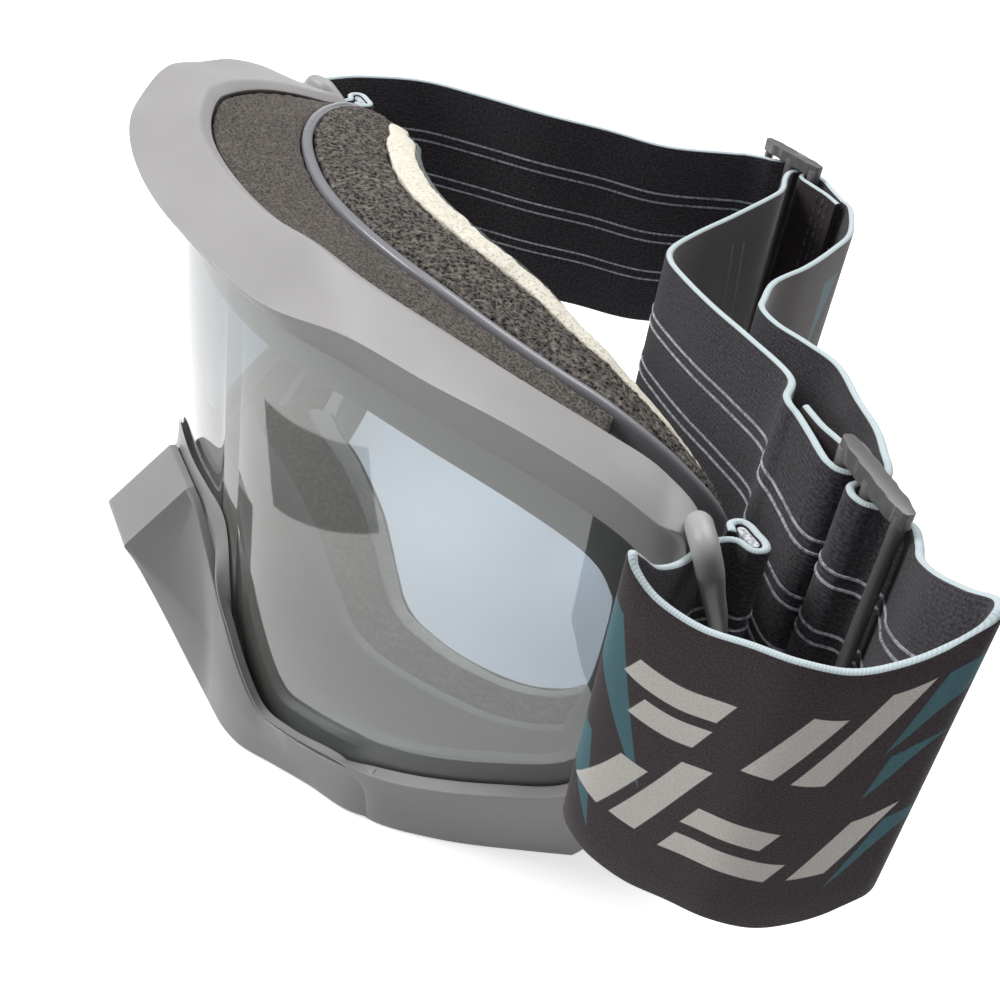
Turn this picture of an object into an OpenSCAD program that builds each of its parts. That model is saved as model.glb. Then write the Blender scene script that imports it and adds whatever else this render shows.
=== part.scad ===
/* [Lens] */
// Outer radius of the lens, which curves round an upright axis
lens_r = 87.8; // [86:0.2:90]
// Thickness of the lens
lens_t = 1.5; // [1.2:0.1:1.8]
// How far the edge of the lens runs into the frame
lens_lap = 2.2; // [1.6:0.1:2.4]
// Clearance between pieces that seat on each other
seat_gap = 0.3; // [0.2:0.05:0.35]

/* [Frame] */
// Angle from the middle to the end of the lens opening
side_a = 66.5; // [65:0.5:68]
// Height of the top of the lens opening
brow_z = 89.2; // [88:0.2:91]
// How far the brow's front edge stands out from the lens
brow_lip = 8.6; // [7.6:0.2:9.4]
// Height of the brow's front edge above the lens opening
brow_cover = 10; // [9:0.2:11]
// How far the brow's face leans back
brow_lean = 11.2; // [10.4:0.2:12]
// How far the brow's face rises
brow_rise = 4.8; // [4.2:0.2:5.6]
// How far the lower band stands out from the lens
band_lip = 3; // [2.6:0.1:3.4]
// Thickness of the frame's mouldings
frame_wall = 2.2; // [1.8:0.1:2.4]
// Width of the ledge behind the lens that shows through it
ledge = 8; // [5:0.5:9]

/* [Nose] */
// Height of the top of the nose notch in the lens
notch_z = 45.5; // [43:0.5:48]
// Height of the arch over the nose
arch_z = 30.5; // [28:0.5:32]
// How far the nose guard's beak reaches forward of the lens
beak_reach = 15; // [12:0.5:18]
// Width of the beak's flat top
beak_w = 14; // [12:0.5:16]
// Thickness of the nose guard
guard_t = 1.5; // [1.2:0.1:1.6]

/* [Face foam] */
// Distance from the lens axis to the face flange at the forehead
rim_r = 63.7; // [62.5:0.5:65]
// Distance from the lens's face back to the face flange at the temple
temple_depth = 9.7; // [9.2:0.1:10.2]
// Height of the flange's rim at the forehead
rim_z = 96.8; // [95.5:0.2:98]
// Thickness of the face flange
flange_t = 2; // [1.6:0.1:2.4]
// Thickness of all the foam layers at the forehead
foam_t = 20.5; // [17:0.5:23]
// Share of the foam's thickness that the coarse first layer takes
base_share = 0.66; // [0.6:0.01:0.72]
// Share of the foam's thickness that the fleece takes
fleece_share = 0.06; // [0.04:0.01:0.08]

/* [Strap] */
// Width of the elastic strap
strap_w = 50; // [46:0.5:51]
// Thickness of the elastic strap
strap_t = 1.5; // [1.2:0.1:1.6]
// Height of the strap's upper edge where it passes the frame
strap_top = 79; // [78:0.5:80]
// Diameter of the post that the strap turns round
post_d = 2.8; // [2.4:0.1:3]
// Width of the flat rod in the strap's end
anchor_w = 5; // [4.4:0.2:5.4]
// Thickness of that rod
anchor_t = 1.6; // [1.4:0.1:1.8]

/* [Sliders] */
// Distance between the slider's bars
bar_pitch = 8; // [7.6:0.1:8.4]
// Diameter of the slider's bars
bar_d = 3; // [2.6:0.1:3.1]
// Diameter of the slider's outer bar
outer_bar_d = 2.2; // [2:0.1:2.4]
// Clearance between a bar and the strap that turns round it
bar_gap = 0.55; // [0.4:0.05:0.6]
// Thickness of the slider's end pieces
slider_t = 3.4; // [3.2:0.1:3.8]
// Height of the slider's end pieces
slider_end = 2.8; // [2.4:0.2:3.4]

/* [Hidden] */
$fn = 48;
frame_c = "#a9a8a9";
inner_c = "#85878c";
foam_c = "#4a4846";
print_c = "#3c3436";

// Radius of the lens seats, in front of the lens and behind it
front_seat_r = lens_r + seat_gap;
back_seat_r = lens_r - lens_t - seat_gap;
// Steps of the smooth curve between two named points of a ring
steps = 2;

// A point at an angle round the lens axis, a distance from it and a height
function place(p) = [p[1] * sin(p[0]), lens_r - p[1] * cos(p[0]), p[2]];
// The other way round: angle, distance and height of a point in space
function polar(x, y, z) = [atan2(x, lens_r - y), norm([x, lens_r - y]), z];

// One point of the smooth curve that runs from b to c, with a before and d after
function smooth(a, b, c, d, t) =
  0.5 * (2 * b + (c - a) * t + (2 * a - 5 * b + 4 * c - d) * t * t + (3 * b - a - 3 * c + d) * t * t * t);
// The same point, never below the table
function above(p) = [p[0], p[1], max(p[2], 0)];
// A smooth curve through open points
function curve(p, n) = let (m = len(p) - 1) concat(
  [for (i = [0:m - 1], j = [0:n - 1])
    let (a = i > 0 ? p[i - 1] : 2 * p[0] - p[1], d = i < m - 1 ? p[i + 2] : 2 * p[m] - p[m - 1])
    smooth(a, p[i], p[i + 1], d, j / n)],
  [p[m]]);
// Half of a ring, from the forehead to the nose, made whole by its mirror image
function whole(half) = let (m = len(half) - 1) concat(
  half, [for (i = [m - 1:-1:1]) [-half[i][0], half[i][1], half[i][2]]]);
// A smooth closed ring through the points of a half
function ring(half) = let (p = whole(half), m = len(p)) [for (i = [0:m - 1], j = [0:steps - 1])
  above(smooth(p[(i + m - 1) % m], p[i], p[(i + 1) % m], p[(i + 2) % m], j / steps))];
// The middle and both halves of an open strip, from the far end to the near end
function both(half) = let (m = len(half) - 1) concat(
  [for (i = [m:-1:1]) [-half[i][0], half[i][1], half[i][2]]], half);

// The lens opening: angle and height, from the middle of the brow round the side to the nose
opening = [
  [0, brow_z], [0.21 * side_a, brow_z], [0.36 * side_a, brow_z], [0.46 * side_a, brow_z],
  [0.59 * side_a, brow_z - 2], [0.73 * side_a, brow_z - 5.6], [0.85 * side_a, brow_z - 10.6],
  [0.93 * side_a, brow_z - 16], [0.98 * side_a, brow_z - 23], [side_a, 0.655 * brow_z],
  [0.995 * side_a, 0.47 * brow_z], [0.965 * side_a, 29], [0.91 * side_a, 21.5], [0.8 * side_a, 18],
  [0.66 * side_a, 13.6], [0.58 * side_a, 11.2], [0.52 * side_a, 9], [0.4 * side_a, 6.4], [0.31 * side_a, 5.6],
  [0.25 * side_a, 9], [0.21 * side_a, 18], [0.195 * side_a, 29], [0.18 * side_a, notch_z - 7],
  [0.155 * side_a, notch_z - 1.2], [0.09 * side_a, notch_z], [0, notch_z]
];
last = len(opening) - 1;
// Length of one degree round the lens
degree = lens_r * PI / 180;
// The way out of a half ring at one of its points, square to its edge, in degrees and height
function outward(half, i) = let (
  p = [for (q = whole(half)) [q[0] * degree, q[len(q) - 1]]], m = len(p),
  d = p[(i + 1) % m] - p[(i + m - 1) % m], u = [-d[1], d[0]] / norm(d)) [u[0] / degree, u[1]];
// The opening grown by a distance, at a distance from the lens axis
function grown(by, r) = [for (i = [0:last]) let (o = outward([for (q = opening) [q[0], 0, q[1]]], i))
  [i == 0 || i == last ? 0 : opening[i][0] + by * o[0], r, opening[i][1] + by * o[1]]];
// A half ring moved out or in along its own surface
function moved(half, by) = [for (i = [0:last]) let (o = outward(half, i))
  [i == 0 || i == last ? 0 : half[i][0] + by * o[0], half[i][1], half[i][2] + by * o[1]]];

// Distance from the lens axis to the brow's front edge, the lower band's face and the face under the guard
brow_r = lens_r + brow_lip;
band_r = lens_r + band_lip;
rebate_r = lens_r + 1.2;
// First point of the frame that lies under the nose guard
wing = 16;

// The brow's lip has a bend on each side, where its flatter side face begins
lip_z = brow_z + brow_cover;
frame_front = [
  [0, brow_r, lip_z + 0.2], [0.21 * side_a, brow_r + 0.3, lip_z + 0.2],
  [0.36 * side_a, brow_r + 0.4, lip_z - 0.9], [0.495 * side_a, brow_r - 0.7, lip_z + 0.2],
  [0.615 * side_a, brow_r - 2, lip_z - 2.6],
  [0.735 * side_a, brow_r - 2.3, lip_z - 5.5], [0.855 * side_a, brow_r - 2.4, lip_z - 10.6],
  [0.94 * side_a, brow_r - 3.4, lip_z - 16.9], [0.992 * side_a, brow_r - 5, lip_z - 21.6],
  [1.01 * side_a, lens_r + 1.8, 0.655 * brow_z], [1.006 * side_a, lens_r + 1.8, 0.47 * brow_z],
  [0.975 * side_a, lens_r + 2.6, 29], [0.915 * side_a, band_r, 21.5], [0.8 * side_a, band_r, 17.6],
  [0.66 * side_a, band_r, 13.2], [0.58 * side_a, band_r, 11.4], [0.522 * side_a, band_r, 11],
  [0.408 * side_a, band_r, 9.8], [0.334 * side_a, band_r, 9.6], [0.28 * side_a, band_r, 14.8],
  [0.232 * side_a, band_r, 22.2], [0.19 * side_a, band_r, 29], [0.146 * side_a, band_r, notch_z - 9.6],
  [0.104 * side_a, band_r, notch_z - 4.4], [0.07 * side_a, band_r, notch_z - 2],
  [0, band_r + 0.2, notch_z - 1.8]
];
brow_back_r = brow_r - brow_lean;
brow_top = lip_z + brow_rise;
frame_edge = [
  [0, brow_back_r, brow_top], [0.203 * side_a, brow_back_r - 0.5, brow_top - 0.8],
  [0.313 * side_a, brow_back_r - 1.3, brow_top - 0.8], [0.414 * side_a, brow_back_r - 2.3, brow_top - 2.9],
  [0.564 * side_a, brow_back_r - 4.1, brow_top - 6.6], [0.71 * side_a, brow_back_r - 5.1, brow_top - 11.1],
  [0.85 * side_a, brow_back_r - 5.4, brow_top - 16.1], [0.955 * side_a, brow_back_r - 2.9, brow_top - 19.8],
  [1.025 * side_a, lens_r - 0.6, brow_top - 26], [1.043 * side_a, lens_r + 0.2, 0.66 * brow_z],
  [1.043 * side_a, lens_r + 0.2, 0.42 * brow_z],
  [1.02 * side_a, lens_r - 1.6, 14], [0.96 * side_a, lens_r - 2.2, 0], [0.85 * side_a, lens_r - 1.2, 0],
  [0.71 * side_a, lens_r + 1.4, 0], [0.6 * side_a, lens_r + 3.2, 0], [0.54 * side_a, lens_r + 1.5, 0],
  [0.42 * side_a, lens_r + 1.4, 0], [0.31 * side_a, lens_r + 1.8, 0], [0.19 * side_a, lens_r + 2, 0],
  [0.155 * side_a, lens_r + 1.6, 0.23 * arch_z], [0.118 * side_a, lens_r + 1.4, 0.56 * arch_z],
  [0.085 * side_a, lens_r + 1.2, 0.8 * arch_z], [0.055 * side_a, lens_r + 1.2, 0.93 * arch_z],
  [0.025 * side_a, lens_r + 1.2, arch_z], [0, lens_r + 1.2, arch_z]
];
// The frame's hidden back edge, a wall's thickness behind its outer edge
frame_back = [for (i = [0:last]) let (e = frame_edge[i], low = e[2] < 1)
  [e[0], low ? back_seat_r - 1.6 : e[1] - frame_wall - (i > 8 && i < 12 ? 0.6 : 0),
    e[2] - (i < 9 ? 1.6 : 0)]];
// The edge of the rebate that takes the nose guard, and the foot of that edge
rib = moved(frame_front, 0.6);
function along(t) = [for (i = [0:last]) frame_front[i] + t * (frame_edge[i] - frame_front[i])];
rib_edge = [for (i = [0:last]) i < wing ? along(0.25)[i] : rib[i]];
rib_foot = [for (i = [0:last]) i < wing ? along(0.5)[i] : [rib[i][0], rebate_r, rib[i][2]]];
groove = lens_lap + seat_gap;

// Triangles between neighbouring sections with n points each; the first face is split the other way,
// so that layers that lie on each other have the same facets
function skin(n, a, b) = [for (k = [0:n - 1]) let (l = (k + 1) % n)
  each k == 0
    ? [[a * n + k, b * n + k, a * n + l], [b * n + k, b * n + l, a * n + l]]
    : [[a * n + k, b * n + l, a * n + l], [a * n + k, b * n + k, b * n + l]]];
// A closed ring: its rails are given in the order of a walk round its section
module ring_skin(rails) {
  n = len(rails);
  m = len(rails[0]);
  polyhedron(
    [for (i = [0:m - 1], k = [0:n - 1]) place(rails[k][i])],
    [for (i = [0:m - 1]) each skin(n, i, (i + 1) % m)]);
}
// An open strip with flat ends
module strip_skin(rails) {
  n = len(rails);
  m = len(rails[0]);
  polyhedron([for (i = [0:m - 1], k = [0:n - 1]) place(rails[k][i])], concat(
    [for (i = [0:m - 2]) each skin(n, i, i + 1)],
    [[for (k = [0:n - 1]) k], [for (k = [n - 1:-1:0]) (m - 1) * n + k]]));
}

module outer_frame() {
  color(frame_c) ring_skin([
    ring(grown(0, front_seat_r)), ring(frame_front), ring(rib_edge), ring(rib_foot), ring(frame_edge),
    ring(frame_back), ring(grown(groove, back_seat_r - 1.6)), ring(grown(groove, front_seat_r))
  ]);
}

// The lens: a bent sheet whose edge follows the opening all round
module lens() {
  edge = ring(grown(lens_lap, lens_r));
  side = 9 * steps;
  upper = [for (i = [0:side]) [edge[i][0], edge[i][2]]];
  lower = [for (i = [side:last * steps]) [edge[i][0], edge[i][2]]];
  end = edge[side][0] - 0.05;
  nose = [for (q = lower) if (q[0] < 0.32 * side_a) q[0]];
  far = [for (k = [0:30]) 0.33 * side_a + (end - 0.33 * side_a) * sin(3 * k)];
  turns = concat(
    [for (k = [30:-1:0]) -far[k]], [for (a = nose) -a], [for (i = [len(nose) - 2:-1:0]) nose[i]], far);
  function sheet(table, r) = [for (a = turns) [a, r, lookup(abs(a), table)]];
  color("#5a5d5e", 0.6) strip_skin([
    sheet(upper, lens_r - lens_t), sheet(upper, lens_r), sheet(lower, lens_r), sheet(lower, lens_r - lens_t)
  ]);
}

// The face flange comes forward in steps, from 0 at the forehead to 14.4 at the temple
function ahead(v) = rim_r + v / 14.4 * (lens_r - temple_depth - rim_r);
// Its rim and its inner edge, from the forehead round the side to the nose
rim = [
  [0, rim_r, rim_z], [12, rim_r, rim_z - 0.2], [22, ahead(0.5), rim_z - 0.8], [31, ahead(1.2), rim_z - 1.9],
  [40, ahead(2.6), rim_z - 3.8], [49, ahead(4.7), rim_z - 6.2], [57.3, ahead(7), rim_z - 9.2],
  [66, ahead(10.2), rim_z - 15], [73, ahead(12.8), rim_z - 24], [76, ahead(14.2), 0.6 * rim_z],
  [76.4, ahead(14.4), 0.42 * rim_z], [74.5, ahead(13.8), 25], [69, ahead(12.6), 13], [60, ahead(10.6), 5.5],
  [50, ahead(8.8), 3], [42, ahead(7.9), 2.4], [37, ahead(7.4), 2.4], [31, ahead(7), 2.6], [25, ahead(7), 4.6],
  [20, ahead(7.4), 10], [16.5, ahead(8), 18], [13, ahead(8.6), 25.5], [10, ahead(9.2), notch_z - 15],
  [7, ahead(9.8), notch_z - 12.5], [3.5, ahead(10.2), notch_z - 11.2], [0, ahead(10.4), notch_z - 11]
];
rim_inner = [
  [0, rim_r, 82], [11, rim_r, 82], [20.5, ahead(0.5), 81.6],
  [28.5, ahead(1.2), 80.8], [36.5, ahead(2.6), 79.4],
  [44, ahead(4.7), 77.4], [51, ahead(7), 74.5], [58, ahead(10.2), 69.5], [63, ahead(12.8), 62],
  [65.5, ahead(14.2), 53], [65.8, ahead(14.4), 42], [64.5, ahead(13.8), 32], [60, ahead(12.6), 24.5],
  [52, ahead(10.6), 20.6], [44, ahead(8.8), 19.6], [37.5, ahead(7.9), 19.4], [33, ahead(7.4), 19.4],
  [28.5, ahead(7), 19.8], [24.5, ahead(7), 22], [21.5, ahead(7.4), 27], [18.8, ahead(8), 33],
  [15.8, ahead(8.6), 39], [12, ahead(9.2), notch_z - 2], [8, ahead(9.8), notch_z + 1],
  [4, ahead(10.2), notch_z + 2.2], [0, ahead(10.4), notch_z + 2.4]
];
// A half ring between the rim and the inner edge: a share and a distance of the way in, and one forward
function flange(share, by, forward) = [for (i = [0:last]) let (
  p = rim[i], q = rim_inner[i], w = norm([(p[0] - q[0]) * degree, p[2] - q[2]]), k = share + by / w)
  [p[0] + (q[0] - p[0]) * k, p[1] + (q[1] - p[1]) * k + forward, p[2] + (q[2] - p[2]) * k]];
// The same for the foam behind the flange, a share of its thickness deep
function foam(share, by, deep) = let (f = flange(share, by, 0)) [for (i = [0:last])
  [f[i][0], f[i][1] - deep * foam_t * thickness(i), f[i][2]]];
// The foam's thickness round the face, as a share of that at the forehead
function thickness(i) =
  i < 5 ? 1 : i < 9 ? 1 - 0.12 * (i - 4) : i < 13 ? 0.52 : i < 21 ? 0.03 * i + 0.16 : 0.76;

// Clearance between the layers, as a share of the foam's thickness
layer_gap = 0.2 / foam_t;

// One layer of foam between two depths; its sides stand out by a crown or draw in
module face_layer(from, to, draw_from, draw_to, crown) {
  mid = (from + to) / 2;
  draw = (draw_from + draw_to) / 2 - crown;
  ring_skin([
    ring(foam(0, draw_from, from)), ring(foam(1, -draw_from, from)), ring(foam(1, -draw, mid)),
    ring(foam(1, -draw_to, to)), ring(foam(0, draw_to, to)), ring(foam(0, draw, mid))
  ]);
}

module face_foam_base() {
  color(foam_c) face_layer(0, base_share, 0.3, 1, 0.4);
}

module face_foam_mid() {
  color("#f3eddc") face_layer(base_share + layer_gap, 1 - fleece_share, 1, 1.8, 0.3);
}

module face_fleece() {
  color("#6e7d7a") face_layer(1 - fleece_share + layer_gap, 1, 1.8, 2.8, 0);
}

// Width of the ledge behind the lens at each point of the opening
ledge_in = grown(-1, 1);
function ledge_rail(share, r) = [for (i = [0:last]) let (
  o = grown(0, r)[i], k = share * (i < 12 ? ledge : i < 20 ? 3 : 2))
  [o[0] + k * (ledge_in[i][0] - o[0]), r, o[2] + k * (ledge_in[i][2] - o[2])]];

// Angle between the vent slots over the forehead, and their width
vent_pitch = 12;
vent_w = 10;
// Depth of the roof between the lens's seat and the flange; a slot takes a third of it
roof = back_seat_r - rim_r - frame_wall - flange_t;

module inner_frame() {
  front_r = seat_gap + flange_t;
  color(inner_c) difference() {
    ring_skin([
      ring(flange(0, 0, seat_gap)), ring(flange(1, 0, seat_gap)), ring(flange(1, 0, front_r)),
      ring(flange(0, 3.6 + frame_wall, front_r)), ring(grown(-frame_wall, back_seat_r - frame_wall - 0.6)),
      ring(ledge_rail(1, back_seat_r - frame_wall - 0.6)),
      ring(ledge_rail(1, back_seat_r - 0.8)), ring(grown(lens_lap - 0.2, back_seat_r)),
      ring(grown(0, back_seat_r - frame_wall)), ring(flange(0, 3.6, front_r)), ring(flange(0, 0, front_r))
    ]);
    for (i = [-3:3])
      translate([0, lens_r, 0]) rotate(i * vent_pitch)
        translate([-vent_w / 2, -back_seat_r + frame_wall + roof * 30 / 181, rim_z - 16])
          cube([vent_w, roof * 61 / 181, 20]);
  }
}

module top_vent_foam() {
  half = [0:6];
  back = [for (i = half) [rim[i][0], rim[i][1] + flange_t + 2 * seat_gap, rim[i][2] - 0.8]];
  front = [for (i = half) [frame_back[i][0], frame_back[i][1] - seat_gap, frame_back[i][2] - 0.6]];
  low = grown(1.8, back_seat_r - frame_wall - 2.2);
  color("#3c3a39") strip_skin([
    curve(both(back), steps), curve(both(front), steps), curve(both([for (i = half) low[i]]), steps),
    curve(both([for (p = back) [p[0], p[1], p[2] - 1.6]]), steps)
  ]);
}

module bottom_vent_foam_left() {
  half = [13:15];
  back = [for (i = half) [rim[i][0], rim[i][1] + flange_t + 2 * seat_gap, rim[i][2] + 0.4]];
  top = grown(1.5, back_seat_r - frame_wall - 0.6);
  color("#3c3a39") strip_skin([
    curve(back, steps), curve([for (p = back) [p[0], p[1], p[2] + 2.4]], steps),
    curve([for (i = half) top[i]], steps),
    curve([for (i = half) [top[i][0], top[i][1], 0.45 * top[i][2] - 0.5]], steps)
  ]);
}

module bottom_vent_foam_right() {
  mirror([1, 0, 0]) bottom_vent_foam_left();
}

// The nose guard's upper edge along the frame's rib, its ridge and its lower edge, from wing to beak
guard_upper = [for (i = [wing:last - 2]) moved(frame_front, 1)[i]];
beak_y = -beak_reach;
guard_ridge = [
  [36, band_r + 0.5, 6], [29, band_r + 0.5, 5], [24, band_r + 1, 5], [20.5, band_r + 1.5, 6.5],
  [16.5, band_r + 1.5, 10], [13.5, band_r + 1.1, 13], [10.7, band_r + 0.6, 15.7],
  polar(beak_w / 2 + 4.4, 0.5 * beak_y, arch_z - 8)
];
guard_lower = [
  [36.6, band_r + 0.8, 0.4], [31, band_r + 0.4, 0.4], [25.8, band_r + 1.4, 0.4], [21.2, band_r + 3, 0.4],
  [17.6, band_r + 2.9, 0.4], [14.6, band_r + 2.1, 0.4], [11, band_r + 1.7, 1.5],
  polar(beak_w / 2 + 3.4, 0.48 * beak_y, 12)
];
// A guard rail: smooth along the wing, straight over the beak
function rail(half, x, y, z) = let (c = curve(concat(half, [polar(x, y, z)]), steps), m = len(c) - 1)
  concat(c, [polar(0, y, z)], [for (i = [m:-1:0]) [-c[i][0], c[i][1], c[i][2]]]);
function inside(p) = [for (q = p) [q[0], q[1] - guard_t, q[2]]];

module nose_guard() {
  upper = rail(guard_upper, beak_w / 2, -band_lip, notch_z - 3);
  ridge = rail(guard_ridge, beak_w / 2, beak_y, arch_z + 0.5);
  lower = rail(guard_lower, beak_w / 2 - 0.4, beak_y + 1.6, arch_z - 2);
  color(frame_c) strip_skin([upper, inside(upper), inside(ridge), inside(lower), lower, ridge]);
}

// The frame's ends: outermost point of the side, in plan
end_x = (lens_r + 0.2) * sin(1.043 * side_a);
end_y = lens_r - (lens_r + 0.2) * cos(1.043 * side_a);
// Clear slot between the frame's side and the post, and the middle of the strap's roll behind it
slot_w = strap_t + 1;
post_x = end_x + 0.7 + slot_w + post_d / 2;
post_y = end_y - 3.2;
slot_x = end_x + 0.7 + slot_w / 2;
roll_x = slot_x + 0.2;
roll_y = end_y + 1.4 + anchor_t / 2 + strap_t;
// Side of the inner frame that carries the outrigger
sides = concat(
  flange(0, 0, flange_t + seat_gap), flange(0, 3.6, flange_t + seat_gap), grown(0, back_seat_r - frame_wall));
side_x = max([for (p = sides) place(p)[0]]) + seat_gap;
arm_t = 2.4;
arm_low = strap_top - strap_w - 0.5 - arm_t;
arm_high = strap_top + 1.1;

// The outrigger's bar leans back from the brow's end: its middle from the bottom to the top
bar_route = [
  [post_x + 0.6, post_y + 1.5, arm_low], [post_x + 1.6, post_y + 3.2, 36], [post_x + 2.2, post_y + 4, 50],
  [post_x + 2.8, post_y + 3, 61], [post_x + 3, post_y + 1, 68], [post_x + 3, post_y - 1.5, 74],
  [post_x + 3, post_y - 4.4, 80], [post_x + 3, post_y - 5, arm_high + arm_t]
];

// A round bar along a rising route, with n points in each section
module bar(route, n) {
  m = len(route) - 1;
  turn = [for (k = [0:n - 1]) post_d / 2 * [cos(360 * k / n), sin(360 * k / n), 0]];
  polyhedron([for (p = route, t = turn) p + t], concat(
    [for (i = [0:m - 1]) each skin(n, i, i + 1)],
    [[for (k = [0:n - 1]) k], [for (k = [n - 1:-1:0]) m * n + k]]));
}

module outrigger_left() {
  back = roll_y + 5;
  color(frame_c) union() {
    bar(bar_route, 16);
    translate([0, 0, arm_high]) linear_extrude(arm_t) polygon([
      [post_x + 3, post_y - 6.4], [post_x + 4.4, post_y - 5], [post_x + 3.6, post_y - 2.4],
      [slot_x + 1.4, post_y + 2.8],
      [side_x + 2.8, roll_y + 0.6], [side_x + 1.6, back], [side_x, back], [side_x, roll_y],
      [end_x - 2.4, post_y + 2.8], [end_x + 1, post_y - 1.4], [post_x + 1.6, post_y - 6]
    ]);
    translate([0, 0, arm_low]) linear_extrude(arm_t) polygon([
      [post_x + 2, post_y], [post_x + 2, roll_y - 1], [post_x - 1, roll_y + 3.6], [side_x + 1.6, back],
      [side_x, back], [side_x, end_y + 1.8], [end_x + 1.2, end_y + 1.8], [post_x - 1, post_y + 1],
      [post_x - 0.6, post_y]
    ]);
    translate([side_x, end_y + 1.8, arm_low]) cube([1.6, back - end_y - 1.8, arm_high + arm_t - arm_low]);
  }
}

module outrigger_right() {
  mirror([1, 0, 0]) outrigger_left();
}

module strap_anchor_left() {
  reach = (anchor_w - anchor_t) / 2;
  color("#cfd4d8") translate([roll_x, roll_y, strap_top - strap_w + 0.5]) union() {
    translate([-reach, -anchor_t / 2, 0]) cube([2 * reach, anchor_t, strap_w - 1]);
    for (side = [-reach, reach])
      translate([side, 0, 0]) cylinder(d = anchor_t, h = strap_w - 1);
  }
}

module strap_anchor_right() {
  mirror([1, 0, 0]) strap_anchor_left();
}

// Both faces of a ribbon along a path of points in plan: [x, y, height of its upper edge]
function faces(path) = let (m = len(path) - 1) [for (i = [0:m]) let (
  a = path[max(i - 1, 0)], b = path[min(i + 1, m)], d = [b[0] - a[0], b[1] - a[1]],
  u = d / norm(d) * strap_t / 2, p = path[i])
  [[p[0] - u[1], p[1] + u[0], p[2]], [p[0] + u[1], p[1] - u[0], p[2]]]];
// One piece of a strap: its smooth path runs on through all of its stretches
module ribbon(stretches, which) {
  path = joined(stretches);
  first = mark(stretches, which);
  m = min(mark(stretches, which + 1), len(path) - 1) - first;
  both_faces = faces(path);
  down = [0, 0, -strap_w];
  polyhedron(
    [for (i = [first:first + m]) let (f = both_faces[i]) each [f[0], f[1], f[1] + down, f[0] + down]],
    concat(
      [for (i = [0:m - 1]) each skin(4, i, i + 1)],
      [[0, 1, 2, 3], [4 * m + 3, 4 * m + 2, 4 * m + 1, 4 * m]]));
}
function joined(stretches) = curve([for (s = stretches) each s], steps);
function mark(stretches, which) =
  which == 0 ? 0 : mark(stretches, which - 1) + steps * len(stretches[which - 1]);

// The strap's sewn roll round its rod and the way out through the slot, in plan
lay = (anchor_t + strap_t) / 2 + 0.15;
roll_route = [
  [slot_x - strap_t - 0.3, roll_y - lay], [roll_x - anchor_w / 2 + 0.6, roll_y - lay],
  [roll_x - anchor_w / 2 - 0.7, roll_y - 0.65 * lay], [roll_x - anchor_w / 2 - 1.1, roll_y],
  [roll_x - anchor_w / 2 - 0.7, roll_y + 0.65 * lay], [roll_x - anchor_w / 2 + 0.6, roll_y + lay],
  [roll_x, roll_y + lay],
  [roll_x + anchor_w / 2 - 0.6, roll_y + lay], [roll_x + anchor_w / 2 + 0.7, roll_y + 0.65 * lay],
  [roll_x + anchor_w / 2 + 1.1, roll_y], [roll_x + anchor_w / 2 + 0.5, roll_y - 0.8 * lay],
  [slot_x + 0.9, roll_y - lay - 0.5], [slot_x, post_y + 3], [slot_x, post_y]
];
function with_top(plan, z) = [for (p = plan) [p[0], p[1], z]];

// Sliders: middle bar in plan, direction from the first bar to the third, height of the strap's upper edge
left_mid = [post_x + 6.25, post_y + 18.4];
left_turn = -9.8;
left_top = strap_top + 12;
right_mid = [-54, post_y + 112.6];
right_turn = 190;
right_top = strap_top - 8;
bar_r = bar_d / 2 + strap_t / 2 + bar_gap;
function turned(c, a, s, t, z) = [c[0] + s * cos(a) - t * sin(a), c[1] + s * sin(a) + t * cos(a), z];
left_bar = turned(left_mid, left_turn, -bar_pitch, 0, 0);
right_bar = turned(right_mid, right_turn, -bar_pitch, 0, 0);
// The strap's way through a slider: from its lead behind the third bar, over the middle bar and out
function thread(c, a, z, lead, out) = [for (p = concat(lead, [
  [bar_pitch / 2, 0.9], [2.9, -0.6], [0.72 * bar_r, -0.74 * bar_r], [0, -bar_r], [-0.72 * bar_r, -0.74 * bar_r],
  [-bar_r, 0]], out)) turned(c, a, p[0], p[1], z)];
// A sewn end round a bar: the strap leaves along an angle, on one side of the bar
function eye(c, a, side, z) = [for (p = [
  [17, 1.6], [12, 1.9], [7, 2.3], [2.4, bar_r], [0, bar_r], [-0.72 * bar_r, 0.72 * bar_r], [-bar_r, 0],
  [-0.72 * bar_r, -0.72 * bar_r], [0, -bar_r], [3, -2.2], [6, -1.5], [9, -0.8], [12, -0.6], [14.5, -0.5]])
  turned(c, a, p[0], side * p[1], z)];

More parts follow.
